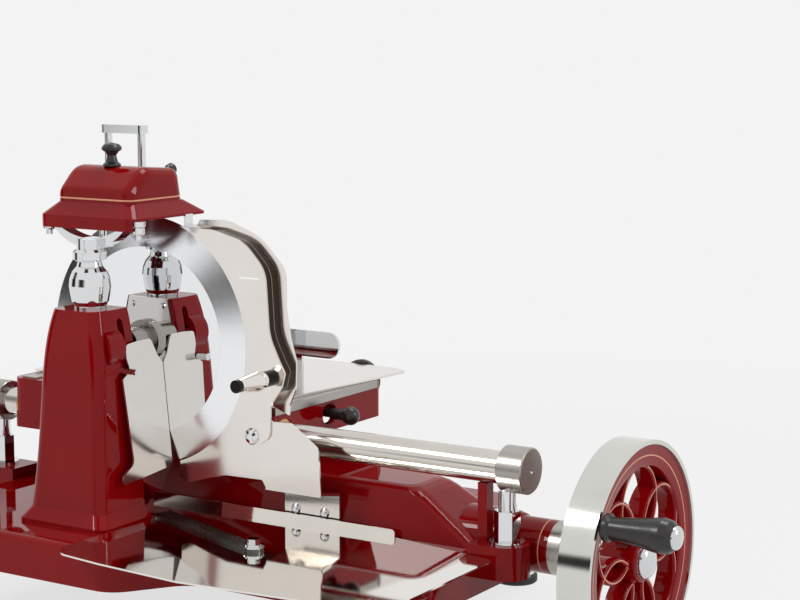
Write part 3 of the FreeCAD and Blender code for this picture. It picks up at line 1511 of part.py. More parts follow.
def flywheel():
    """Red casting with the flower of petal loops, felloe and hub."""
    x0, x1 = web_x()
    centre = vec(0, SHAFT_Y, SHAFT_Z)
    loop = petal((x0, x1), 0.0)
    eye = petal((x0 - 1, x1 + 1), PETAL_WALL)
    turns = [PETAL_TURN + 360.0 * i / PETALS for i in range(PETALS)]
    flower = joined([spun(loop, centre, X_AXIS, turn) for turn in turns])
    flower = flower.cut([spun(eye, centre, X_AXIS, turn) for turn in turns])
    boss = rod(vec(x0 + 1, CRANK_PIN_Y, CRANK_PIN_Z), vec(WHEEL_X[1] - 3, CRANK_PIN_Y, CRANK_PIN_Z), 13.0)
    limit = shaft_line((x0, WHEEL_X[1]), WHEEL_R - RIM_BAND - 1)
    hub = shaft_line((WHEEL_X[0] - 6, x1 + HUB_RISE), HUB_BOSS_R)
    body = joined([wheel_profile_ring(), flower, hub, boss.common(limit)])
    pin_start = vec(WHEEL_X[0], CRANK_PIN_Y, CRANK_PIN_Z)
    pin_hole = rod(pin_start, vec(WHEEL_X[1] + 1, CRANK_PIN_Y, CRANK_PIN_Z), CRANK_PIN_R)
    return body.cut([shaft_line((WHEEL_X[0] - 10, WHEEL_X[1] + 20), SHAFT_R), pin_hole])


def shaft_end():
    """End of the drive shaft, inside the hub's nut."""
    return web_x()[1] + HUB_RISE + 2.0


def hub_cap():
    """Bright domed nut on the shaft's end."""
    start = vec(web_x()[1] + HUB_RISE, SHAFT_Y, SHAFT_Z)
    profile = [(0, 0), (19, 0), (19, 5), (14, 9), (7, 11), (0, 11.5)]
    cap = turned(profile, start, X_AXIS)
    return cap.cut(shaft_line((WHEEL_X[0], shaft_end()), SHAFT_R))


def crank_pin():
    """Fixed pin that the grip turns on, with its collar at the wheel."""
    x0 = web_x()[0] + 1
    shank = rod(vec(x0, CRANK_PIN_Y, CRANK_PIN_Z), vec(grip_start() + GRIP_LENGTH - 8, CRANK_PIN_Y, CRANK_PIN_Z), CRANK_PIN_R)
    return shank


def grip_start():
    """x where the grip begins, clear of the wheel's face."""
    return WHEEL_X[1] + 2.0


def handle_grip():
    """Black turned grip, bored for its pin."""
    length = GRIP_LENGTH
    bore = CRANK_PIN_R + RUNNING
    profile = [(bore, 0), (14, 0), (15.5, 2), (15.5, 6), (12.5, 9), (13.5, 26), (16, 45), (18.4, 60), (GRIP_R, 67),
               (17.5, 75), (13.5, length), (0, length), (0, length - 7), (bore, length - 7)]
    return turned(profile, vec(grip_start(), CRANK_PIN_Y, CRANK_PIN_Z), X_AXIS)


def handle_cap():
    """Chrome end cap of the grip."""
    profile = [(0, 0), (12.5, 0), (12.5, 2.5), (10, 5), (5, GRIP_CAP - 0.5), (0, GRIP_CAP)]
    return turned(profile, vec(grip_start() + GRIP_LENGTH, CRANK_PIN_Y, CRANK_PIN_Z), X_AXIS)


# ================================================================ carriage
def carriage_body():
    """Red cast carriage: hollow box with the guide beam and a lever slot."""
    x0, x1 = CARRIAGE_X
    y0, y1 = CARRIAGE_Y
    z0, z1 = CARRIAGE_Z
    wall = CARRIAGE_WALL
    box = slab(rectangle(CARRIAGE_X, CARRIAGE_Y, 14.0), z0, z1)
    hollow = slab(rectangle((x0 + wall, x1 - wall), (beam_back(), y1 - wall), 8.0), z0 - 1, z1 - wall - 2)
    beam = slab(rectangle(CARRIAGE_X, (y0, beam_back()), 10.0), BEAM_BOTTOM, z0 + 1)
    body = joined([box, beam]).cut(hollow)
    nut = rod(vec(FEED_X, y1 - NUT_LENGTH, FEED_Z), vec(FEED_X, y1, FEED_Z), NUT_R)
    nut = nut.common(block((x0, x1), (y0, y1), (z0, z1)))
    body = joined([body, nut, drive_arm(), lever_pivot()] + roller_bracket())
    bore = tube_line((x0 - 1, x1 + 1), CARRIAGE_BUSH_R)
    screw = rod(vec(FEED_X, y1 - NUT_LENGTH - 1, FEED_Z), vec(FEED_X, y1 + 1, FEED_Z), FEED_R + RUNNING)
    return body.cut([bore, lever_slot(), screw] + gibs())


def beam_back():
    """Rear face of the carriage's guide beam."""
    return TUBE_Y + TUBE_R + 7.5


def lever_slot():
    """Oval slot in the carriage's right wall for the feed lever."""
    x1 = CARRIAGE_X[1]
    return side_panel(
        rectangle((LEVER_Y - 14.5, LEVER_Y + 14.5), (LEVER_Z - 13, LEVER_Z + 12), 11.0),
        x1 - CARRIAGE_WALL - 2,
        x1 + 1,
    )


def gibs():
    """Two steel slide bars let into the carriage's top."""
    bars = []
    top = TABLE_TOP - TABLE_PLATE - SEAT
    y = (20.0, 240.0)
    for x in (CARRIAGE_X[0] + 12.0, CARRIAGE_X[1] + 2.0 - GIB_WIDTH):
        bars.append(block((x, x + GIB_WIDTH), y, (top - GIB_HEIGHT, top)))
    return bars


def carriage_bushes():
    """Two bushes that run on the guide tube."""
    bushes = []
    for x in (CARRIAGE_X[0] + 2, CARRIAGE_X[1] - 2 - CARRIAGE_BUSH):
        span = (x, x + CARRIAGE_BUSH)
        bushes.append(tube_line(span, CARRIAGE_BUSH_R).cut(tube_line(span, TUBE_R + RUNNING)))
    return bushes


def drive_arm():
    """Arm from the carriage down through the deck to the connecting rod."""
    x = (drive_x() - DRIVE_ARM_WIDTH / 2, drive_x() + DRIVE_ARM_WIDTH / 2)
    y = (DRIVE_ARM_Y - DRIVE_ARM_THICK / 2, DRIVE_ARM_Y + DRIVE_ARM_THICK / 2)
    upright = block(x, y, (TAB_Z[0], CARRIAGE_Z[1] - CARRIAGE_WALL - 2))
    tab = slab(rectangle(x, (SHAFT_Y - 12, y[1]), 5.0), TAB_Z[0], TAB_Z[1])
    return joined([upright, tab])


def roller_bracket():
    """Bracket under the carriage's rear wall with the roller's axle."""
    rear = CARRIAGE_Y[1]
    low = ROLLER_Z - 9
    face = ROLLER_Y - ROLLER_WIDTH / 2 - SEAT
    corners = (
        (rear - CARRIAGE_WALL, CARRIAGE_Z[0] + 1, 0),
        (rear, CARRIAGE_Z[0] + 1, 0),
        (face, CARRIAGE_Z[0] - 24, 4),
        (face, low, 4),
        (face - 9, low, 4),
        (rear - CARRIAGE_WALL, CARRIAGE_Z[0] - 34, 4),
    )
    plate = side_panel(corners, ROLLER_X - 14, ROLLER_X + 14)
    axle_end = ROLLER_Y + ROLLER_WIDTH / 2 + 3
    return [plate, rod(vec(ROLLER_X, face - 5, ROLLER_Z), vec(ROLLER_X, axle_end, ROLLER_Z), ROLLER_AXLE_R)]


def rear_roller():
    """Plain roller that carries the carriage's rear on the rail."""
    start = vec(ROLLER_X, ROLLER_Y - ROLLER_WIDTH / 2, ROLLER_Z)
    return pipe(start, start + vec(0, ROLLER_WIDTH, 0), ROLLER_R, ROLLER_AXLE_R + RUNNING)


def rear_rail():
    """Steel rail on the deck under the roller."""
    x = (ROLLER_X - 40, ROLLER_X + STROKE + 40)
    y = (ROLLER_Y - RAIL_WIDTH / 2, ROLLER_Y + RAIL_WIDTH / 2)
    return block(x, y, (DECK_Z, ROLLER_Z - ROLLER_R - SEAT))


def feed_screw():
    """Screw that turns in the table's block and runs through the carriage's nut."""
    knob_y = FEED_END - FEED_KNOB_DEPTH
    shank = rod(vec(FEED_X, FEED_START, FEED_Z), vec(FEED_X, knob_y, FEED_Z), FEED_R)
    collars = []
    for y in (FEED_BLOCK_Y[0] - SEAT - 4, FEED_BLOCK_Y[1] + SEAT):
        collars.append(rod(vec(FEED_X, y, FEED_Z), vec(FEED_X, y + 4, FEED_Z), FEED_R + 4))
    return joined([shank] + collars)


def feed_knob():
    """Black domed hand knob at the rear of the feed screw."""
    r = FEED_KNOB_R
    depth = FEED_KNOB_DEPTH
    profile = [(0, 0), (r - 3, 0), (r, 3), (r, 9), (r - 4, 15), (r - 13, depth - 2), (0, depth)]
    return turned(profile, vec(FEED_X, FEED_END - depth, FEED_Z), Y_AXIS)


def feed_lever():
    """Thickness lever: a rod with a ball end, through the carriage's slot."""
    start = vec(LEVER_PIVOT_X + 6, LEVER_Y, LEVER_Z)
    shank = rod(start, vec(LEVER_BALL_X, LEVER_Y, LEVER_Z), LEVER_R - 1)
    sleeve = rod(vec(CARRIAGE_X[1] + 4, LEVER_Y, LEVER_Z), vec(LEVER_BALL_X - 6, LEVER_Y, LEVER_Z), LEVER_R + 1)
    ball = Part.makeSphere(LEVER_BALL_R, vec(LEVER_BALL_X, LEVER_Y, LEVER_Z))
    eye = rod(vec(LEVER_PIVOT_X, LEVER_Y, LEVER_Z - 6), vec(LEVER_PIVOT_X, LEVER_Y, LEVER_Z + 6), 9.0)
    body = joined([shank, sleeve, ball, eye])
    hole = rod(vec(LEVER_PIVOT_X, LEVER_Y, -130), vec(LEVER_PIVOT_X, LEVER_Y, -60), LEVER_PIN_R + RUNNING)
    return body.cut(hole)


def lever_pivot():
    """Pin under the carriage's top that the lever swings on."""
    top = CARRIAGE_Z[1] - CARRIAGE_WALL - 1
    return rod(vec(LEVER_PIVOT_X, LEVER_Y, LEVER_Z - 6), vec(LEVER_PIVOT_X, LEVER_Y, top), LEVER_PIN_R)


# ================================================================ meat table
def meat_table():
    """Stainless table plate with the block that holds the feed screw."""
    corners = (
        (TABLE_X[0], TABLE_Y[0], 8.0),
        (TABLE_X[1] - 20, TABLE_Y[0], 8.0),
        (TABLE_X[1] + 2, TABLE_Y[1] - 13, 6.0),
        (TABLE_X[1] - 20, TABLE_Y[1], 10.0),
        (TABLE_X[0], TABLE_Y[1], 14.0),
    )
    plate = slab(corners, TABLE_TOP - TABLE_PLATE, TABLE_TOP)
    holder = block((FEED_X - 14, FEED_X + 14), FEED_BLOCK_Y, (FEED_Z - 12, TABLE_TOP - TABLE_PLATE))
    front, back = FEED_BLOCK_Y
    hole = rod(vec(FEED_X, front - 1, FEED_Z), vec(FEED_X, back + 1, FEED_Z), FEED_R + RUNNING)
    return joined([plate, holder]).cut(hole)


def fence_bar():
    """Bright stadium-shaped rest bar across the table, on two feet."""
    radius = (FENCE_Z[1] - FENCE_Z[0]) / 2.0 - 0.5
    bar = panel(
        ((FENCE_X[0], FENCE_Z[0], 3), (FENCE_X[1], FENCE_Z[0], radius), (FENCE_X[1], FENCE_Z[1], radius), (FENCE_X[0], FENCE_Z[1], 3)),
        FENCE_Y[0],
        FENCE_Y[1],
    )
    feet = [block((x, x + 14), FENCE_Y, (TABLE_TOP, FENCE_Z[0] + 2)) for x in (-150, 90)]
    return joined([bar] + feet)


def clamp_posts():
    """Two chrome posts and the cross bar that joins their tops."""
    parts = []
    for x in POST_X:
        parts.append(rod(vec(x, POST_Y, TABLE_TOP), vec(x, POST_Y, POST_TOP - 4), POST_R))
        parts.append(rod(vec(x, POST_Y, TABLE_TOP), vec(x, POST_Y, TABLE_TOP + 6), 11.0))
    bar = slab(
        rectangle((POST_X[0] - 9, POST_X[1] + 9), (POST_Y - 9, POST_Y + 9), 8.5),
        POST_TOP - 11,
        POST_TOP,
    )
    return joined(parts + [bar])


def clamp_head():
    """Sliding head with its arm and spiked meat plate."""
    low, high = HEAD_Z
    bridge = slab(rectangle((POST_X[0] - 12, POST_X[1] + 12), (POST_Y - 12, POST_Y + 12), 10.0), low, high)
    holes = [rod(vec(x, POST_Y, low - 1), vec(x, POST_Y, high + 1), POST_R + RUNNING) for x in POST_X]
    arm = block((POST_X[1], POST_X[1] + 70), (POST_Y - 8, POST_Y + 8), (low + 4, high - 8))
    reach = block((POST_X[1] + 54, POST_X[1] + 70), (100, POST_Y), (low + 4, high - 8))
    plate = slab(rectangle((POST_X[1] + 20, POST_X[1] + 120), (60, 150), 10.0), low, low + 4)
    spikes = []
    for i in range(4):
        for j in range(3):
            x = POST_X[1] + 32 + 25 * i
            spikes.append(Part.makeCone(0.5, 3.0, 12, vec(x, 72 + 32 * j, low - 12)))
    return joined([bridge, arm, reach, plate] + spikes).cut(holes)


def clamp_knob():
    """Black knob that locks the clamp head on its posts."""
    x = (POST_X[0] + POST_X[1]) / 2
    z = (HEAD_Z[0] + HEAD_Z[1]) / 2
    profile = [(0, 0), (6, 0), (6, 5), (13, 7), (14, 10), (14, 17), (11, 20), (0, 21)]
    return turned(profile, vec(x, POST_Y + 12, z), Y_AXIS)


# ================================================================ export
def group(shapes):
    """Several separate solids in one node."""
    return Part.makeCompound(shapes)


def fasteners():
    """Round-head screws of the back plate and bracket, and the tray's bolt."""
    return group(back_plate_screws() + bracket_screws() + [tray_bolt()])


def bushes():
    """Bushes of the spindle, the cross shaft and the drive shaft."""
    return group(spindle_bushes() + cross_shaft_bushes() + shaft_bushes())


def supports():
    """Studs, hexagonal spacers and washers under the guide tube's caps."""
    return group(tube_studs() + stud_spacers() + stud_washers())


def nodes():
    """Every node's name and shape."""
    grinding_stone, honing_stone = sharpening_stones()
    return {
        "base_casting": base_casting(),
        "foot_pads": foot_pads(),
        "foot_plates": foot_plates(),
        "blade_column": blade_column(),
        "column_back_plate": column_back_plate(),
        "steel_fasteners": fasteners(),
        "spindle_housing": spindle_housing(),
        "bronze_bushes": bushes(),
        "column_neck": column_neck(),
        "sharpener_bracket": sharpener_bracket(),
        "thumb_screws": group(thumb_screws()),
        "stone_carrier": stone_carrier(),
        "grinding_stone": grinding_stone,
        "honing_stone": honing_stone,
        "sharpener_cover": sharpener_cover(),
        "cover_knobs": group(cover_knobs()),
        "cover_clip": cover_clip(),
        "deflector_plate": deflector_plate(),
        "deflector_peg": deflector_peg(),
        "blade": blade(),
        "blade_hub": blade_hub(),
        "blade_cap": blade_cap(),
        "spindle_sprocket": sprocket(UPPER_TEETH, 0.0, 0.0, SPINDLE_R, 4.0),
        "drive_chain": drive_chain(),
        "lower_sprocket": sprocket(LOWER_TEETH, CROSS_X, SHAFT_Z, CROSS_R, 4.0),
        "cross_shaft": cross_shaft(),
        "ring_guard": ring_guard(),
        "guard_knob": guard_knob(),
        "guard_pivot_screw": guard_pivot_screw(),
        "lower_guard_plate": lower_guard_plate(),
        "slice_tray": tray(),
        "tray_clamp_bar": tray_clamp_bar(),
        "guide_tube": guide_tube(),
        "tube_end_caps": group(tube_end_caps()),
        "tube_supports": supports(),
        "drive_shaft": drive_shaft(),
        "crank_pinion": crank_pinion(),
        "sleeve_ring": sleeve_ring(),
        "crank_gear": joined([crank_gear(), crank_arm()]),
        "crank_post": crank_post(),
        "connecting_rod": connecting_rod(),
        "flywheel_rim": flywheel_rim(),
        "flywheel": flywheel(),
        "hub_cap": hub_cap(),
        "crank_pin": crank_pin(),
        "handle_grip": handle_grip(),
        "handle_cap": handle_cap(),
        "carriage_body": carriage_body(),
        "carriage_bushes": group(carriage_bushes()),
        "carriage_gibs": group(gibs()),
        "rear_roller": rear_roller(),
        "rear_rail": rear_rail(),
        "meat_table": meat_table(),
        "fence_bar": fence_bar(),
        "clamp_posts": clamp_posts(),
        "clamp_head": clamp_head(),
        "clamp_knob": clamp_knob(),
        "feed_screw": feed_screw(),
        "feed_knob": feed_knob(),
        "feed_lever": feed_lever(),
    }


def main():
    """Write every node."""
    os.makedirs("parts", exist_ok=True)
    for name, shape in nodes().items():
        save(name, shape)


main()
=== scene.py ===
# %% [markdown]
# # A hand crank meat slicer in enamel and polished steel
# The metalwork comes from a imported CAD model: every casting, shaft and sheet is already at its
# real size and place, in metres. This lesson gives each of them its finish: stoved red enamel,
# mirror-ground steel, chrome and black resin. No CAD piece is moved or reshaped. Three pieces of the
# wheel and its crank are built anew as meshes, and each stands exactly in the old one's place.

import math

import bmesh
import bpy
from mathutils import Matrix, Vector


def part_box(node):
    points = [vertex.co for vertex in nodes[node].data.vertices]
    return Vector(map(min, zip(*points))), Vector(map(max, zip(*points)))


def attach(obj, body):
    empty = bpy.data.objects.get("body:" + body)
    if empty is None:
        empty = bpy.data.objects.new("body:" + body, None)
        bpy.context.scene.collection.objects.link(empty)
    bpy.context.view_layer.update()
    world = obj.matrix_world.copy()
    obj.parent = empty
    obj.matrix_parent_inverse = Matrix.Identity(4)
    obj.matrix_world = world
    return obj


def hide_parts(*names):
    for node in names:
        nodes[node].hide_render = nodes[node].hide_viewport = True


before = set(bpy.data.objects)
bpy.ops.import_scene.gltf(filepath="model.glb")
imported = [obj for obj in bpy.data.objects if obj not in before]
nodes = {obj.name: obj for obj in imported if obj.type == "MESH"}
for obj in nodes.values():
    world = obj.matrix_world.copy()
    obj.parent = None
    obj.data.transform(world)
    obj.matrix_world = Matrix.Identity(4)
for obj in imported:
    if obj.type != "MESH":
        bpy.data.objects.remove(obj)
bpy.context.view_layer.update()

# %% [markdown]
# ## The camera
# A long lens keeps parallel edges nearly parallel, so the machine looks as solid as it is. The camera
# stands to the right of the operator's side and a little above, about 2.3 metres from the middle.

# %% Camera
LENS_MM = 87.4
CAMERA_PLACE = (1.3025, -1.878, 0.716)
CAMERA_TURN = 32.4
CAMERA_TILT = 7.9

camera_data = bpy.data.cameras.new("camera")
camera_data.lens = LENS_MM
camera_data.sensor_width = 36.0
camera_data.clip_end = 60.0
camera = bpy.data.objects.new("camera", camera_data)
camera.location = CAMERA_PLACE
camera.rotation_euler = (math.radians(90.0 - CAMERA_TILT), 0.0, math.radians(CAMERA_TURN))
bpy.context.scene.collection.objects.link(camera)
bpy.context.scene.camera = camera
print("camera at", CAMERA_PLACE, "lens", LENS_MM)

# %% [markdown]
# ## Small helpers for node trees
# Every finish is a tree of shader nodes. The steps that repeat get short helpers, and each stands
# where it is first needed. These five add a node, join two sockets, do a sum or a comparison, give
# the place of a point, and draw noise. Places are in metres, in the machine's own frame.


# %% Node helpers
def add_node(tree, kind, **settings):
    """Add a node; settings are attributes, or input values when the key starts with in_."""
    node = tree.nodes.new(kind)
    for key, value in settings.items():
        if key.startswith("in_"):
            node.inputs[key[3:].replace("_", " ")].default_value = value
        else:
            setattr(node, key, value)
    return node


def join(tree, source, target):
    """Link two sockets."""
    tree.links.new(source, target)


def calc(tree, operation, *values, **settings):
    """Socket with the result of a maths operation on sockets or numbers."""
    node = add_node(tree, "ShaderNodeMath", operation=operation, **settings)
    for slot, value in zip(node.inputs, values):
        if isinstance(value, (int, float)):
            slot.default_value = value
        else:
            join(tree, value, slot)
    return node.outputs["Value"]


def position(tree):
    """Socket with the place of a point on the machine."""
    return add_node(tree, "ShaderNodeTexCoord").outputs["Object"]


def noise(tree, vector, **settings):
    """Noise texture node read at a vector."""
    node = add_node(tree, "ShaderNodeTexNoise", **settings)
    join(tree, vector, node.inputs["Vector"])
    return node


print("helpers ready")

# %% [markdown]
# ## Fine scratches
# Polished steel is never perfectly even. Buffing leaves hair-fine lines that run one way, and wiping
# leaves soft cloudy patches. Both can be drawn with noise: one fine noise drawn out along the rubbing
# direction, and one large soft noise. They stand in a group, a small tree with named sockets that
# many materials share. It gives a roughness, a height for the bump and the clouds by themselves.

# %% Rubbed metal group
FLOAT = "NodeSocketFloat"
COLOR = "NodeSocketColor"
VECTOR = "NodeSocketVector"


def new_group(name, inputs, outputs):
    """Shader node group with named sockets: each is (name, type, value)."""
    group = bpy.data.node_groups.new(name, "ShaderNodeTree")
    for label, kind, value in inputs:
        socket = group.interface.new_socket(name=label, in_out="INPUT", socket_type=kind)
        socket.default_value = value
    for label, kind in outputs:
        group.interface.new_socket(name=label, in_out="OUTPUT", socket_type=kind)
    return group, group.nodes.new("NodeGroupInput"), group.nodes.new("NodeGroupOutput")


def build_rubbed_metal():
    """Group: stretched scratch noise and cloudy wiping marks."""
    group, inside, outside = new_group(
        "rubbed_metal",
        [("Stretch", VECTOR, (20.0, 400.0, 400.0)), ("Base Roughness", FLOAT, 0.1), ("Spread", FLOAT, 0.1),
         ("Cloud Size", FLOAT, 12.0)],
        [("Roughness", FLOAT), ("Height", FLOAT), ("Cloud", FLOAT)],
    )
    place = position(group)
    stretch = add_node(group, "ShaderNodeVectorMath", operation="MULTIPLY")
    join(group, place, stretch.inputs[0])
    join(group, inside.outputs["Stretch"], stretch.inputs[1])
    lines = noise(group, stretch.outputs["Vector"], in_Scale=1.0, in_Detail=4.0, in_Roughness=0.7)
    clouds = noise(group, place, in_Detail=3.0, in_Roughness=0.55)
    join(group, inside.outputs["Cloud Size"], clouds.inputs["Scale"])
    both = calc(group, "MULTIPLY", lines.outputs["Fac"], clouds.outputs["Fac"])
    rough = calc(group, "MULTIPLY_ADD", both, inside.outputs["Spread"], inside.outputs["Base Roughness"])
    join(group, rough, outside.inputs["Roughness"])
    join(group, lines.outputs["Fac"], outside.inputs["Height"])
    join(group, clouds.outputs["Fac"], outside.inputs["Cloud"])
    return group


rubbed_metal = build_rubbed_metal()
print("group", rubbed_metal.name)

# %% [markdown]
# ## Helpers for materials
# A finish starts with a Principled BSDF, the shader that can be metal, enamel or rubber. These
# helpers make an empty tree and a material, place a group with a material's own values, blend two
# colours and bump the surface.


# %% Material helpers
def bare_tree(owner, output_kind):
    """Empty node tree of a material or world; gives the tree and its output node."""
    owner.use_nodes = True
    tree = owner.node_tree
    tree.nodes.clear()
    return tree, tree.nodes.new(output_kind)


def new_material(name):
    """Material with a Principled BSDF joined to its output; gives the material, tree and shader."""
    material = bpy.data.materials.new(name)
    tree, output = bare_tree(material, "ShaderNodeOutputMaterial")
    shader = tree.nodes.new("ShaderNodeBsdfPrincipled")
    join(tree, shader.outputs["BSDF"], output.inputs["Surface"])
    return material, tree, shader


def use_group(tree, group, **values):
    """Place a node group in a material with its own values."""
    node = tree.nodes.new("ShaderNodeGroup")
    node.node_tree = group
    for key, value in values.items():
        node.inputs[key.replace("_", " ")].default_value = value
    return node


def blend(tree, factor, first, second):
    """Socket with a colour between two constant colours."""
    mix = add_node(tree, "ShaderNodeMix", data_type="RGBA")
    mix.inputs["A"].default_value = (*first, 1.0)
    mix.inputs["B"].default_value = (*second, 1.0)
    join(tree, factor, mix.inputs["Factor"])
    return mix.outputs["Result"]


def add_bump(tree, shader, height, strength, depth):
    """Bump the shader's normal with a height socket; depth in metres."""
    relief = add_node(tree, "ShaderNodeBump", in_Strength=strength, in_Distance=depth)
    join(tree, height, relief.inputs["Height"])
    join(tree, relief.outputs["Normal"], shader.inputs["Normal"])


print("material helpers ready")

# %% [markdown]
# ## Plain metals
# Stainless sheet, chrome plate, turned steel and bronze differ in tint, in how rough they are and in
# the direction of their marks, so one function makes them all from those three facts. A metal's look
# is its reflections: the base colour is the tint that it gives them.

# %% Metals
SCRATCH_DEPTH = 0.0004
CLOUD_SIZE = 14.0
ALL_WAYS = (60.0, 60.0, 60.0)


def metal(name, tint, dark_tint, roughness, spread, stretch, bump=0.02):
    """Metal with directional marks; tint varies softly between two near colours."""
    material, tree, shader = new_material(name)
    marks = use_group(tree, rubbed_metal, Stretch=stretch, Base_Roughness=roughness, Spread=spread,
                      Cloud_Size=CLOUD_SIZE)
    join(tree, blend(tree, marks.outputs["Cloud"], dark_tint, tint), shader.inputs["Base Color"])
    join(tree, marks.outputs["Roughness"], shader.inputs["Roughness"])
    add_bump(tree, shader, marks.outputs["Height"], bump, SCRATCH_DEPTH)
    shader.inputs["Metallic"].default_value = 1.0
    return material


stainless = metal("stainless_sheet", (0.84, 0.80, 0.76),
                  (0.74, 0.70, 0.66), 0.10, 0.16, (30.0, 30.0, 900.0), 0.03)
tray_steel = metal("polished_tray_steel", (0.86, 0.83, 0.79),
                   (0.78, 0.75, 0.71), 0.02, 0.08, (40.0, 500.0, 500.0))
tube_steel = metal("drawn_tube_steel", (0.72, 0.68, 0.63),
                   (0.62, 0.58, 0.54), 0.10, 0.12, (15.0, 900.0, 900.0), 0.04)
rim_steel = metal("polished_rim_steel", (0.72, 0.73, 0.68),
                  (0.62, 0.63, 0.58), 0.07, 0.10, (900.0, 30.0, 30.0), 0.03)
chrome = metal("chrome_plate", (0.78, 0.79, 0.80), (0.70, 0.71, 0.72), 0.02, 0.04, ALL_WAYS, 0.0)
soft_chrome = metal("satin_chrome", (0.72, 0.73, 0.74), (0.62, 0.63, 0.64), 0.12, 0.06, ALL_WAYS, 0.0)
turned_steel = metal("turned_steel", (0.46, 0.43, 0.40),
                     (0.34, 0.32, 0.30), 0.22, 0.20, (500.0, 60.0, 60.0), 0.05)
dark_steel = metal("blued_steel", (0.16, 0.16, 0.15), (0.07, 0.08, 0.07), 0.20, 0.30, ALL_WAYS, 0.08)
bronze = metal("bearing_bronze", (0.66, 0.42, 0.20),
               (0.50, 0.31, 0.14), 0.25, 0.20, (400.0, 60.0, 60.0), 0.05)
print("metals:", stainless.name, tube_steel.name, chrome.name, dark_steel.name)

# %% [markdown]
# ## The knife
# The knife's flat face is lapped to a mirror, and the ground bevel round it is satin, because the
# grinding stone leaves fine rings there. The two zones meet at a sharp circle, so the distance from
# the knife's axis picks between two roughness values.

# %% Knife steel
KNIFE_CENTRE = Vector((-0.1995, -0.079, 0.346))
KNIFE_FACE_R = 0.113
FACE_ROUGHNESS = 0.015
BEVEL_ROUGHNESS = 0.16
RINGS_PER_METRE = 9000.0


def vector_calc(tree, operation, first, second, output="Vector"):
    """Socket with the result of a vector operation on a socket and a constant vector."""
    node = add_node(tree, "ShaderNodeVectorMath", operation=operation)
    join(tree, first, node.inputs[0])
    node.inputs[1].default_value = second
    return node.outputs[output]


def length_of(tree, vector):
    """Socket with a vector's length."""
    node = add_node(tree, "ShaderNodeVectorMath", operation="LENGTH")
    join(tree, vector, node.inputs[0])
    return node.outputs["Value"]


def distance_from_axis(tree, centre, axis):
    """Socket with a point's distance from a line through a centre along X, Y or Z."""
    offset = vector_calc(tree, "SUBTRACT", position(tree), centre)
    across = [0.0 if name == axis else 1.0 for name in "XYZ"]
    return length_of(tree, vector_calc(tree, "MULTIPLY", offset, across))


def knife_steel():
    """Mirror face, ringed satin bevel."""
    material, tree, shader = new_material("knife_steel")
    radius = distance_from_axis(tree, KNIFE_CENTRE, "Y")
    bevel = calc(tree, "GREATER_THAN", radius, KNIFE_FACE_R)
    rough = add_node(tree, "ShaderNodeMix", data_type="FLOAT")
    rough.inputs["A"].default_value = FACE_ROUGHNESS
    rough.inputs["B"].default_value = BEVEL_ROUGHNESS
    join(tree, bevel, rough.inputs["Factor"])
    join(tree, rough.outputs["Result"], shader.inputs["Roughness"])
    join(tree, blend(tree, bevel, (0.86, 0.87, 0.88), (0.90, 0.91, 0.93)), shader.inputs["Base Color"])
    rings = add_node(tree, "ShaderNodeTexNoise", noise_dimensions="1D", in_Detail=2.0,
                     in_Scale=RINGS_PER_METRE)
    join(tree, radius, rings.inputs["W"])
    add_bump(tree, shader, calc(tree, "MULTIPLY", rings.outputs["Fac"], bevel), 0.06, 0.0003)
    shader.inputs["Metallic"].default_value = 1.0
    return material


knife = knife_steel()
print("knife face radius", KNIFE_FACE_R)

# %% [markdown]
# ## Steel with dark bands
# The ring guard is one formed sheet. Its wall turns away from the light, and that shade is painted
# into the colour as a dark band between two bright edges. The locking knob is bright too, with a
# black disc at its end and a dark neck. Each is one piece, and the depth of each point splits bright from
# dark.


# %% Banded steel
def parts_of(tree, vector):
    """The X, Y and Z sockets of a vector."""
    split = add_node(tree, "ShaderNodeSeparateXYZ")
    join(tree, vector, split.inputs["Vector"])
    return split.outputs


def banded_steel(name, bands, dark, rough):
    """Bright steel that is dark where the depth y lies inside one of the bands."""
    material, tree, shader = new_material(name)
    marks = use_group(tree, rubbed_metal, Stretch=(30.0, 900.0, 30.0), Base_Roughness=rough, Spread=0.12)
    depth = parts_of(tree, position(tree))["Y"]
    total = 0.0
    for low, high in bands:
        inside = calc(tree, "COMPARE", depth, (low + high) / 2.0, (high - low) / 2.0)
        total = calc(tree, "MAXIMUM", total, inside)
    bright = blend(tree, marks.outputs["Cloud"], (0.74, 0.70, 0.66), (0.86, 0.82, 0.78))
    mix = add_node(tree, "ShaderNodeMix", data_type="RGBA")
    mix.inputs["B"].default_value = (*dark, 1.0)
    join(tree, total, mix.inputs["Factor"])
    join(tree, bright, mix.inputs["A"])
    join(tree, mix.outputs["Result"], shader.inputs["Base Color"])
    join(tree, marks.outputs["Roughness"], shader.inputs["Roughness"])
    add_bump(tree, shader, marks.outputs["Height"], 0.02, SCRATCH_DEPTH)
    shader.inputs["Metallic"].default_value = 1.0
    return material


# The guard's dark band is painted shade: the shaded wall of the sheet is given a dark base colour.
guard_steel_painted_shade = banded_steel("guard_steel_painted_shade", [(-0.0843, -0.0712)], (0.045, 0.030, 0.022), 0.10)
knob_steel = banded_steel("knob_steel", [(-0.1550, -0.1430), (-0.0975, -0.0860)], (0.02, 0.018, 0.018), 0.05)
print("banded:", guard_steel_painted_shade.name, knob_steel.name)

# %% [markdown]
# ## Red enamel and its stripes
# The castings carry thick stoved enamel: deep red, glossy as glass, with the slight waviness of a
# sprayed coat. A hand-drawn gold line runs along the hood, the sleeve and the wheel. The line could
# be painted in an image, but a mask worked out from the position is sharp at any distance. The first
# group turns any distance into a thin line.

# %% Stripe group
SOFT_EDGE = 1.35


def map_range(tree, value, low, high, **settings):
    """Map Range node from one pair of values to another, with its value joined."""
    node = add_node(tree, "ShaderNodeMapRange", **settings)
    join(tree, value, node.inputs["Value"])
    for key, pair in (("From", low), ("To", high)):
        node.inputs[key + " Min"].default_value, node.inputs[key + " Max"].default_value = pair
    return node


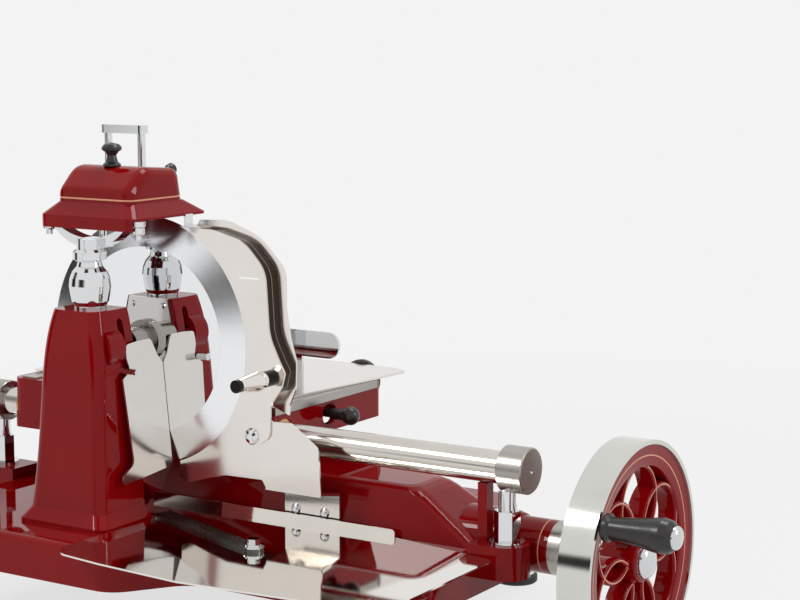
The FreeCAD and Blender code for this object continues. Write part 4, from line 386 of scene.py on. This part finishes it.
def build_stripe():
    """Group: a soft-edged line where a distance is near a centre value."""
    group, inside, outside = new_group(
        "painted_line",
        [("Distance", FLOAT, 0.0), ("Centre", FLOAT, 0.0), ("Half Width", FLOAT, 0.0007)],
        [("Mask", FLOAT)],
    )
    offset = calc(group, "SUBTRACT", inside.outputs["Distance"], inside.outputs["Centre"])
    away = calc(group, "ABSOLUTE", offset)
    edge = map_range(group, away, (0.0, 0.0), (1.0, 0.0), interpolation_type="SMOOTHSTEP")
    join(group, inside.outputs["Half Width"], edge.inputs["From Min"])
    join(group, calc(group, "MULTIPLY", inside.outputs["Half Width"], SOFT_EDGE), edge.inputs["From Max"])
    join(group, edge.outputs["Result"], outside.inputs["Mask"])
    return group


painted_line = build_stripe()
print("group", painted_line.name)

# %% [markdown]
# ## The enamel's coat
# Under the gloss the colour itself is matte, a little deeper in some places than in others, and a
# clear coat over it gives all the shine. That keeps the highlights pale and the red dark.


# %% Enamel
def build_enamel_coat():
    """Group: red enamel colour with gold line mask, and the coat's slight waviness."""
    group, inside, outside = new_group(
        "enamel_coat",
        [("Red", COLOR, (0.28, 0.0014, 0.0030, 1.0)), ("Deep Red", COLOR, (0.19, 0.0010, 0.0022, 1.0)),
         ("Gold", COLOR, (0.74, 0.36, 0.22, 1.0)), ("Line Mask", FLOAT, 0.0)],
        [("Color", COLOR), ("Roughness", FLOAT), ("Height", FLOAT)],
    )
    place = position(group)
    depth = noise(group, place, in_Scale=9.0, in_Detail=2.0).outputs["Fac"]
    color = inside.outputs["Deep Red"]
    for factor, other in ((depth, "Red"), (inside.outputs["Line Mask"], "Gold")):
        mix = add_node(group, "ShaderNodeMix", data_type="RGBA")
        join(group, factor, mix.inputs["Factor"])
        join(group, color, mix.inputs["A"])
        join(group, inside.outputs[other], mix.inputs["B"])
        color = mix.outputs["Result"]
    join(group, color, outside.inputs["Color"])
    rough = map_range(group, depth, (0.0, 1.0), (0.16, 0.24))
    join(group, rough.outputs["Result"], outside.inputs["Roughness"])
    wave = noise(group, place, in_Scale=38.0, in_Detail=1.0)
    join(group, wave.outputs["Fac"], outside.inputs["Height"])
    return group


enamel_coat = build_enamel_coat()


def enamel(name, line_mask=None):
    """Red enamel; line_mask(tree) gives a socket with the gold line's mask."""
    material, tree, shader = new_material(name)
    coat = use_group(tree, enamel_coat)
    if line_mask is not None:
        join(tree, line_mask(tree), coat.inputs["Line Mask"])
    join(tree, coat.outputs["Color"], shader.inputs["Base Color"])
    join(tree, coat.outputs["Roughness"], shader.inputs["Roughness"])
    add_bump(tree, shader, coat.outputs["Height"], 0.05, 0.002)
    shader.inputs["Coat Weight"].default_value = 1.0
    shader.inputs["Coat Roughness"].default_value = 0.02
    shader.inputs["Coat IOR"].default_value = 1.28
    shader.inputs["Specular IOR Level"].default_value = 0.0
    return material


red = enamel("red_enamel")
print("enamel ready:", red.name)

# %% [markdown]
# ## Lines on the hood and the sleeve
# The hood's line follows its shoulder and steps up round the front corner, so its height depends on
# the depth. The sleeve's line is a ring at one x.

# %% Hood and sleeve
HOOD_LINE_Z = (0.5095, 0.5185)
HOOD_CORNER_Y = (-0.147, -0.139)
SLEEVE_LINE_X = 0.3045


def hood_line(tree):
    """Line along the hood's shoulder, lower on the front face."""
    place = parts_of(tree, position(tree))
    step = map_range(tree, place["Y"], HOOD_CORNER_Y, HOOD_LINE_Z, interpolation_type="SMOOTHSTEP")
    line = use_group(tree, painted_line, Half_Width=0.0008)
    join(tree, place["Z"], line.inputs["Distance"])
    join(tree, step.outputs["Result"], line.inputs["Centre"])
    return line.outputs["Mask"]


def sleeve_line(tree):
    """Ring near the sleeve's outer end."""
    line = use_group(tree, painted_line, Centre=SLEEVE_LINE_X, Half_Width=0.0006)
    join(tree, parts_of(tree, position(tree))["X"], line.inputs["Distance"])
    return line.outputs["Mask"]


red_hood = enamel("red_enamel_hood", hood_line)
red_base = enamel("red_enamel_base", sleeve_line)
print("lined enamels:", red_hood.name, red_base.name)

# %% [markdown]
# ## Lines on the wheel
# The wheel has a circle on its felloe and a line on the crest of each of the six rings in its web.
# All six are alike, so the angle round the axis is folded into half of one sixth, where only two
# ring centres can be near.

# %% Wheel
WHEEL_AXIS = Vector((0.0, 0.011, 0.140))
LOOPS = 6
LOOP_CENTRE = 0.063
LOOP_R = 0.043
LOOP_HALF_WALL = 0.003
WEB_X = (0.3925, 0.4145)
FELLOE_R = (0.104, 0.129)
FELLOE_LINE_R = 0.1165
LOOP_LINE_R = (0.027, 0.1035)
LOOP_LINE_X = 0.4135


def wheel_line(tree):
    """Circle on the felloe's face, and a line on the crest of each loop."""
    place = parts_of(tree, vector_calc(tree, "SUBTRACT", position(tree), WHEEL_AXIS))
    radius = distance_from_axis(tree, WHEEL_AXIS, "X")
    angle = calc(tree, "ARCTAN2", place["Y"], place["Z"])
    turned = calc(tree, "ADD", angle, 2.0 * math.tau + math.pi / LOOPS)
    sector = calc(tree, "SUBTRACT", calc(tree, "FLOORED_MODULO", turned, math.tau / LOOPS), math.pi / LOOPS)
    half = calc(tree, "ABSOLUTE", sector)
    point = add_node(tree, "ShaderNodeCombineXYZ")
    for label, operation in (("X", "COSINE"), ("Y", "SINE")):
        join(tree, calc(tree, "MULTIPLY", calc(tree, operation, half), radius), point.inputs[label])
    crests = []
    for turn in (0.0, math.tau / LOOPS):
        centre = (LOOP_CENTRE * math.cos(turn), LOOP_CENTRE * math.sin(turn), 0.0)
        crest = use_group(tree, painted_line, Centre=LOOP_R, Half_Width=0.0005)
        away = vector_calc(tree, "DISTANCE", point.outputs["Vector"], centre, "Value")
        join(tree, away, crest.inputs["Distance"])
        crests.append(crest.outputs["Mask"])
    loops = calc(tree, "MAXIMUM", *crests)
    low, high = LOOP_LINE_R
    gates = ((radius, "GREATER_THAN", low), (radius, "LESS_THAN", high),
             (place["X"], "GREATER_THAN", LOOP_LINE_X))
    for value, operation, limit in gates:
        loops = calc(tree, "MULTIPLY", loops, calc(tree, operation, value, limit))
    ring = use_group(tree, painted_line, Centre=FELLOE_LINE_R, Half_Width=0.0006)
    join(tree, radius, ring.inputs["Distance"])
    return calc(tree, "MAXIMUM", loops, ring.outputs["Mask"])


red_wheel = enamel("red_enamel_wheel", wheel_line)
print("lined enamel:", red_wheel.name)

# %% [markdown]
# ## Black resin, rubber and abrasive
# The crank grip and the knobs are turned from black phenolic resin with a soft satin shine. The feet
# are rubber, dull and slightly grainy. The sharpening stones are sintered grit, so they get a strong
# fine bump and no shine at all.


# %% Grainy group and dull materials
def build_grain():
    """Group: fine grain for roughness and bump, with soft blotches."""
    group, inside, outside = new_group(
        "fine_grain",
        [("Grain Size", FLOAT, 900.0), ("Low", FLOAT, 0.3), ("High", FLOAT, 0.5)],
        [("Roughness", FLOAT), ("Height", FLOAT), ("Blotch", FLOAT)],
    )
    place = position(group)
    grain = noise(group, place, in_Detail=3.0)
    join(group, inside.outputs["Grain Size"], grain.inputs["Scale"])
    blotch = noise(group, place, in_Scale=25.0, in_Detail=2.0).outputs["Fac"]
    rough = add_node(group, "ShaderNodeMapRange")
    join(group, blotch, rough.inputs["Value"])
    join(group, inside.outputs["Low"], rough.inputs["To Min"])
    join(group, inside.outputs["High"], rough.inputs["To Max"])
    join(group, rough.outputs["Result"], outside.inputs["Roughness"])
    join(group, grain.outputs["Fac"], outside.inputs["Height"])
    join(group, blotch, outside.inputs["Blotch"])
    return group


fine_grain = build_grain()

SATIN_GRAIN = 900.0
STONE_GRAIN = 2200.0


def dull(name, color, pale, low, high, bump, grain_size=SATIN_GRAIN):
    """Non-metal with grain and soft colour blotches."""
    material, tree, shader = new_material(name)
    grain = use_group(tree, fine_grain, Grain_Size=grain_size, Low=low, High=high)
    join(tree, blend(tree, grain.outputs["Blotch"], color, pale), shader.inputs["Base Color"])
    join(tree, grain.outputs["Roughness"], shader.inputs["Roughness"])
    add_bump(tree, shader, grain.outputs["Height"], bump, 0.0003)
    return material


black_resin = dull("black_resin", (0.012, 0.010, 0.010), (0.026, 0.023, 0.022), 0.22, 0.34, 0.06)
foot_rubber = dull("foot_rubber", (0.010, 0.010, 0.010), (0.022, 0.021, 0.020), 0.50, 0.70, 0.25)
grey_stone = dull("grey_grit", (0.34, 0.33, 0.32), (0.46, 0.45, 0.43), 0.85, 0.98, 0.9, STONE_GRAIN)
rose_stone = dull("rose_grit", (0.52, 0.33, 0.30), (0.62, 0.42, 0.38), 0.85, 0.98, 0.9, STONE_GRAIN)
print("dull materials:", black_resin.name, foot_rubber.name, grey_stone.name)

# %% [markdown]
# ## Turned shapes
# Felloes, hubs, rings and caps are turned shapes, so one function spins a closed profile round a line
# along X. It merges the points that meet on the axis and turns every face outwards, which the exact
# booleans need.


# %% Spun shells and booleans
def spun_shell(name, profile, centre, steps):
    """Closed mesh of a profile of (radius, x) points spun round an X line through a (y, z) centre."""
    count = len(profile)
    points = []
    for i in range(steps):
        turn = math.tau * i / steps
        for radius, x in profile:
            points.append((x, centre[0] + radius * math.sin(turn), centre[1] + radius * math.cos(turn)))
    faces = []
    for i in range(steps):
        here, there = i * count, ((i + 1) % steps) * count
        for j in range(count):
            after = (j + 1) % count
            faces.append((here + j, here + after, there + after, there + j))
    mesh = bpy.data.meshes.new(name)
    mesh.from_pydata(points, [], faces)
    work = bmesh.new()
    work.from_mesh(mesh)
    bmesh.ops.remove_doubles(work, verts=work.verts, dist=1e-6)
    bmesh.ops.recalc_face_normals(work, faces=work.faces)
    work.to_mesh(mesh)
    work.free()
    shell = bpy.data.objects.new(name, mesh)
    bpy.context.scene.collection.objects.link(shell)
    return shell


def combine(target, tool, operation):
    """Apply an exact boolean of a tool to a target and remove the tool."""
    modifier = target.modifiers.new("combine", "BOOLEAN")
    modifier.operation = operation
    modifier.solver = "EXACT"
    modifier.object = tool
    bpy.context.view_layer.update()
    result = bpy.data.meshes.new_from_object(target.evaluated_get(bpy.context.evaluated_depsgraph_get()))
    target.modifiers.clear()
    target.data = result
    bpy.data.objects.remove(tool)


print("turning tools ready")

# %% [markdown]
# ## The flywheel's casting
# The web inside the felloe is six rings that run through one another, like a child's compass drawing.
# Each wall has a rounded crest that carries the gold line. Exact booleans weld felloe, rings and hub
# into one casting. Two more then ream the hub's bore and drill the hole for the crank pin.

# %% Flywheel casting
SHAFT_R = 0.010
HUB_R = 0.024
PIN_R = 0.006
PIN_PLACE = (-0.091, 0.201)
HUB_X = (0.3765, 0.4205)
CUTTER_X = (0.370, 0.430)
FELLOE_STEPS = 144
LOOP_STEPS = 90
HUB_STEPS = 64
REAMER_STEPS = 48
DRILL_STEPS = 32


def rounded_wall(middle, half, back, front, steps=6):
    """Profile of a wall with a half-round crest at the front."""
    points = [(middle - half, back), (middle + half, back)]
    for i in range(steps + 1):
        turn = math.pi * i / steps
        points.append((middle + half * math.cos(turn), front - half + half * math.sin(turn)))
    return points


def flywheel_casting():
    """Felloe, hub and six loops welded together, then bored for the shaft and the crank pin."""
    axis = (WHEEL_AXIS.y, WHEEL_AXIS.z)
    inner, outer = FELLOE_R
    felloe = [(outer, 0.3855), (outer, 0.4175), (0.1075, 0.4163), (0.1052, 0.4155), (inner, 0.4135),
              (inner, 0.3925), (0.1055, 0.3905)]
    back, front = HUB_X
    hub = [(SHAFT_R, back), (HUB_R, back), (HUB_R, 0.4175), (0.0231, 0.4196), (0.021, front),
           (SHAFT_R, front)]
    wheel = spun_shell("flywheel_casting", felloe, axis, FELLOE_STEPS)
    wall = rounded_wall(LOOP_R, LOOP_HALF_WALL, *WEB_X)
    for i in range(LOOPS):
        turn = math.tau * i / LOOPS
        centre = (axis[0] + LOOP_CENTRE * math.sin(turn), axis[1] + LOOP_CENTRE * math.cos(turn))
        combine(wheel, spun_shell("loop", wall, centre, LOOP_STEPS), "UNION")
    combine(wheel, spun_shell("hub", hub, axis, HUB_STEPS), "UNION")
    start, end = CUTTER_X
    cutters = (("reamer", SHAFT_R, axis, REAMER_STEPS), ("drill", PIN_R, PIN_PLACE, DRILL_STEPS))
    for name, radius, place, steps in cutters:
        profile = [(0.0, start), (radius, start), (radius, end), (0.0, end)]
        combine(wheel, spun_shell(name, profile, place, steps), "DIFFERENCE")
    return wheel


def stand_in(piece, node, body, material, sharp):
    """Finish a piece and put it in a node's place; edges above the sharp angle stay crisp."""
    piece.data.materials.clear()
    piece.data.materials.append(material)
    piece.data.shade_smooth()
    piece.data.set_sharp_from_angle(angle=math.radians(sharp))
    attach(piece, body)
    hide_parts(node)
    print(piece.name, "has", len(piece.data.polygons), "faces")


stand_in(flywheel_casting(), "flywheel", "drive", red_wheel, sharp=35.0)

# %% [markdown]
# ## Domed nut and end cap
# A mirror finish shows every facet, so the domed nut on the shaft and the cap at the grip's end are
# spun with more steps than their CAD meshes have. Each takes its size from the node that it replaces.

# %% Caps
CAP_STEPS = 72
DOME_STEPS = 8
CAP_SHARP = 40.0
LAND_SHARE = 0.4
LAND_CHAMFER = (0.985, 0.9)
DOME_SHARE = 0.96


def domed_cap(node, centre):
    """Smooth domed cap in the place of a node, with a short cylinder under its dome."""
    (x0, y0, _), (x1, y1, _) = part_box(node)
    radius, depth = (y1 - y0) / 2.0, x1 - x0
    land = LAND_SHARE * depth
    narrow, early = LAND_CHAMFER
    profile = [(0.0, x0), (radius, x0), (radius, x0 + early * land), (narrow * radius, x0 + land)]
    for i in range(1, DOME_STEPS):
        turn = math.pi / 2.0 * i / DOME_STEPS
        rise = (depth - land) * math.sin(turn)
        profile.append((DOME_SHARE * radius * math.cos(turn), x0 + land + rise))
    profile.append((0.0, x1))
    return spun_shell(node + "_dome", profile, centre, CAP_STEPS)


nut_dome = domed_cap("hub_cap", (WHEEL_AXIS.y, WHEEL_AXIS.z))
stand_in(nut_dome, "hub_cap", "drive", soft_chrome, CAP_SHARP)
grip_dome = domed_cap("handle_cap", PIN_PLACE)
stand_in(grip_dome, "handle_cap", "grip", soft_chrome, CAP_SHARP)

# %% [markdown]
# ## Dress the CAD pieces
# Each piece takes one finish. The list reads like the maker's finishing sheet: which pieces go to
# the enamel shop, which to the plater and which stay as machined.

# %% Assign finishes
FINISHES = {
    red_base: ["base_casting"],
    red: ["blade_column", "carriage_body"],
    red_hood: ["sharpener_cover"],
    knife: ["blade"],
    guard_steel_painted_shade: ["ring_guard"],
    knob_steel: ["guard_knob"],
    stainless: ["lower_guard_plate", "deflector_plate", "meat_table", "column_back_plate"],
    tray_steel: ["slice_tray"],
    tube_steel: ["guide_tube"],
    rim_steel: ["flywheel_rim"],
    chrome: ["foot_plates", "column_neck", "sharpener_bracket", "thumb_screws", "cover_clip", "tube_supports",
             "clamp_posts", "clamp_head", "fence_bar", "blade_cap",
             "steel_fasteners", "stone_carrier", "deflector_peg", "guard_pivot_screw"],
    turned_steel: ["sleeve_ring", "tube_end_caps", "spindle_housing", "blade_hub", "spindle_sprocket",
                   "lower_sprocket", "drive_chain", "cross_shaft", "drive_shaft", "crank_pinion",
                   "crank_gear", "crank_post", "connecting_rod", "feed_screw", "rear_roller", "rear_rail",
                   "carriage_gibs", "crank_pin"],
    dark_steel: ["tray_clamp_bar"],
    bronze: ["bronze_bushes", "carriage_bushes"],
    black_resin: ["cover_knobs", "handle_grip", "feed_knob", "clamp_knob", "feed_lever"],
    foot_rubber: ["foot_pads"],
    grey_stone: ["grinding_stone"],
    rose_stone: ["honing_stone"],
}


def dress(piece, material):
    """Give every material slot of a piece one finish."""
    if not piece.material_slots:
        piece.data.materials.append(material)
    for slot in piece.material_slots:
        slot.material = material


for material, names in FINISHES.items():
    for name in names:
        dress(nodes[name], material)
dressed = sum(len(names) for names in FINISHES.values())
print("dressed", dressed, "of", len(nodes))

# %% [markdown]
# ## The room
# Shiny metal shows the room, not itself. The room is a pale studio with walls that the camera sees
# as one even tone. The world answers each kind of ray by itself: the camera and the mirrors see the
# pale wall, and the diffuse light stays moderate.

# %% Room
PALE = (0.896, 0.896, 0.896)
ROOM_LIGHT = 0.62


def mixed(tree, factor, first, second, output):
    """Join a mix of two shaders to an output's surface."""
    mix = tree.nodes.new("ShaderNodeMixShader")
    join(tree, factor, mix.inputs["Fac"])
    join(tree, first, mix.inputs[1])
    join(tree, second, mix.inputs[2])
    join(tree, mix.outputs["Shader"], output.inputs["Surface"])


def seen_directly(tree, *kinds):
    """Socket that is one for rays of the given kinds."""
    rays = add_node(tree, "ShaderNodeLightPath")
    total = 0.0
    for kind in kinds:
        total = calc(tree, "ADD", total, rays.outputs[kind], use_clamp=True)
    return total


def build_world():
    """Pale wall for the camera and the mirrors, a soft graded room for the diffuse light."""
    world = bpy.data.worlds.new("studio")
    bpy.context.scene.world = world
    tree, output = bare_tree(world, "ShaderNodeOutputWorld")
    wall = add_node(tree, "ShaderNodeBackground", in_Strength=1.0)
    wall.inputs["Color"].default_value = (*PALE, 1.0)
    room = add_node(tree, "ShaderNodeBackground", in_Strength=ROOM_LIGHT)
    way = parts_of(tree, add_node(tree, "ShaderNodeTexCoord").outputs["Generated"])
    shade = add_node(tree, "ShaderNodeValToRGB")
    low, high = shade.color_ramp.elements
    low.position, low.color = 0.0, (0.82, 0.79, 0.76, 1.0)
    high.position, high.color = 1.0, (1.0, 1.0, 1.0, 1.0)
    join(tree, way["Z"], shade.inputs["Fac"])
    join(tree, shade.outputs["Color"], room.inputs["Color"])
    seen = seen_directly(tree, "Is Camera Ray", "Is Glossy Ray", "Is Transmission Ray")
    mixed(tree, seen, room.outputs["Background"], wall.outputs["Background"], output)


build_world()
print("room ready")

# %% [markdown]
# ## The floor
# The floor has the wall's tone, so no horizon shows. Near the machine a part of it is plain matte
# white that takes a faint shadow, and this part fades out with the distance.

# %% Floor
FLOOR_SIZE = 24.0
FADE_SPAN = (0.5, 2.2)
GLOW_SHARE = (0.80, 1.0)


def flat_sheet(name, width, height):
    """Rectangle in its own XY plane."""
    w, h = width / 2.0, height / 2.0
    mesh = bpy.data.meshes.new(name)
    mesh.from_pydata([(-w, -h, 0), (w, -h, 0), (w, h, 0), (-w, h, 0)], [], [(0, 1, 2, 3)])
    sheet = bpy.data.objects.new(name, mesh)
    bpy.context.scene.collection.objects.link(sheet)
    return sheet


def build_floor():
    """Large pale floor that keeps a faint shadow near the machine."""
    floor = flat_sheet("floor", FLOOR_SIZE, FLOOR_SIZE)
    material = bpy.data.materials.new("studio_floor")
    tree, output = bare_tree(material, "ShaderNodeOutputMaterial")
    lit = add_node(tree, "ShaderNodeBsdfDiffuse")
    lit.inputs["Color"].default_value = (0.80, 0.80, 0.80, 1.0)
    glow = add_node(tree, "ShaderNodeEmission", in_Strength=1.0)
    glow.inputs["Color"].default_value = (*PALE, 1.0)
    far = length_of(tree, position(tree))
    fade = map_range(tree, far, FADE_SPAN, GLOW_SHARE, interpolation_type="SMOOTHSTEP")
    seen = seen_directly(tree, "Is Camera Ray", "Is Glossy Ray")
    share = calc(tree, "MULTIPLY", fade.outputs["Result"], seen)
    mixed(tree, share, lit.outputs["BSDF"], glow.outputs["Emission"], output)
    floor.data.materials.append(material)


build_floor()
print("floor ready")

# %% [markdown]
# ## Lamps and dark cards
# Three soft boxes give the enamel its highlights. A mirror in an all-white room looks like paper, so
# dark cards stand round the machine: they draw the dark lines that make chrome read as metal. Each
# card fades out towards its edge, and only reflections see it.

# %% Lamps and cards
MIDDLE = (0.0, 0.0, 0.3)
CARD_FADE = (0.45, 1.0)


def stand(thing, place):
    """Place a lamp or a card and turn it to the machine's middle."""
    thing.location = place
    thing.rotation_euler = (Vector(MIDDLE) - Vector(place)).to_track_quat("-Z", "Y").to_euler()


def soft_box(name, place, size, power):
    """Rectangular area lamp."""
    data = bpy.data.lights.new(name, "AREA")
    data.shape = "RECTANGLE"
    data.size, data.size_y = size
    data.energy = power
    lamp = bpy.data.objects.new(name, data)
    stand(lamp, place)
    bpy.context.scene.collection.objects.link(lamp)


def dark_card(name, place, size, shade):
    """Matte card with a soft edge that only reflections see."""
    card = flat_sheet(name, *size)
    stand(card, place)
    material = bpy.data.materials.new(name + "_cloth")
    tree, output = bare_tree(material, "ShaderNodeOutputMaterial")
    cloth = add_node(tree, "ShaderNodeBsdfDiffuse")
    cloth.inputs["Color"].default_value = (shade, shade * 0.95, shade * 0.9, 1.0)
    clear = tree.nodes.new("ShaderNodeBsdfTransparent")
    across = vector_calc(tree, "DIVIDE", position(tree), (size[0] / 2.0, size[1] / 2.0, 1.0))
    fade = map_range(tree, length_of(tree, across), CARD_FADE, (0.0, 1.0), interpolation_type="SMOOTHSTEP")
    mixed(tree, fade.outputs["Result"], cloth.outputs["BSDF"], clear.outputs["BSDF"], output)
    card.data.materials.append(material)
    card.visible_camera = False
    card.visible_diffuse = False
    card.visible_shadow = False


soft_box("key_box", (-1.6, -2.2, 2.6), (0.9, 0.7), 34.0)
soft_box("side_box", (2.8, 0.6, 1.6), (0.5, 1.2), 20.0)
soft_box("top_box", (0.2, 0.8, 3.0), (1.6, 0.8), 24.0)
dark_card("left_card", (-3.0, -1.6, 0.8), (2.4, 3.4), 0.03)
dark_card("front_card", (-0.6, -3.6, 0.55), (3.6, 1.1), 0.04)
dark_card("high_card", (-0.4, -1.2, 3.4), (1.6, 1.0), 0.05)
bpy.context.scene.view_settings.view_transform = "Standard"
print("lamps and cards in place")
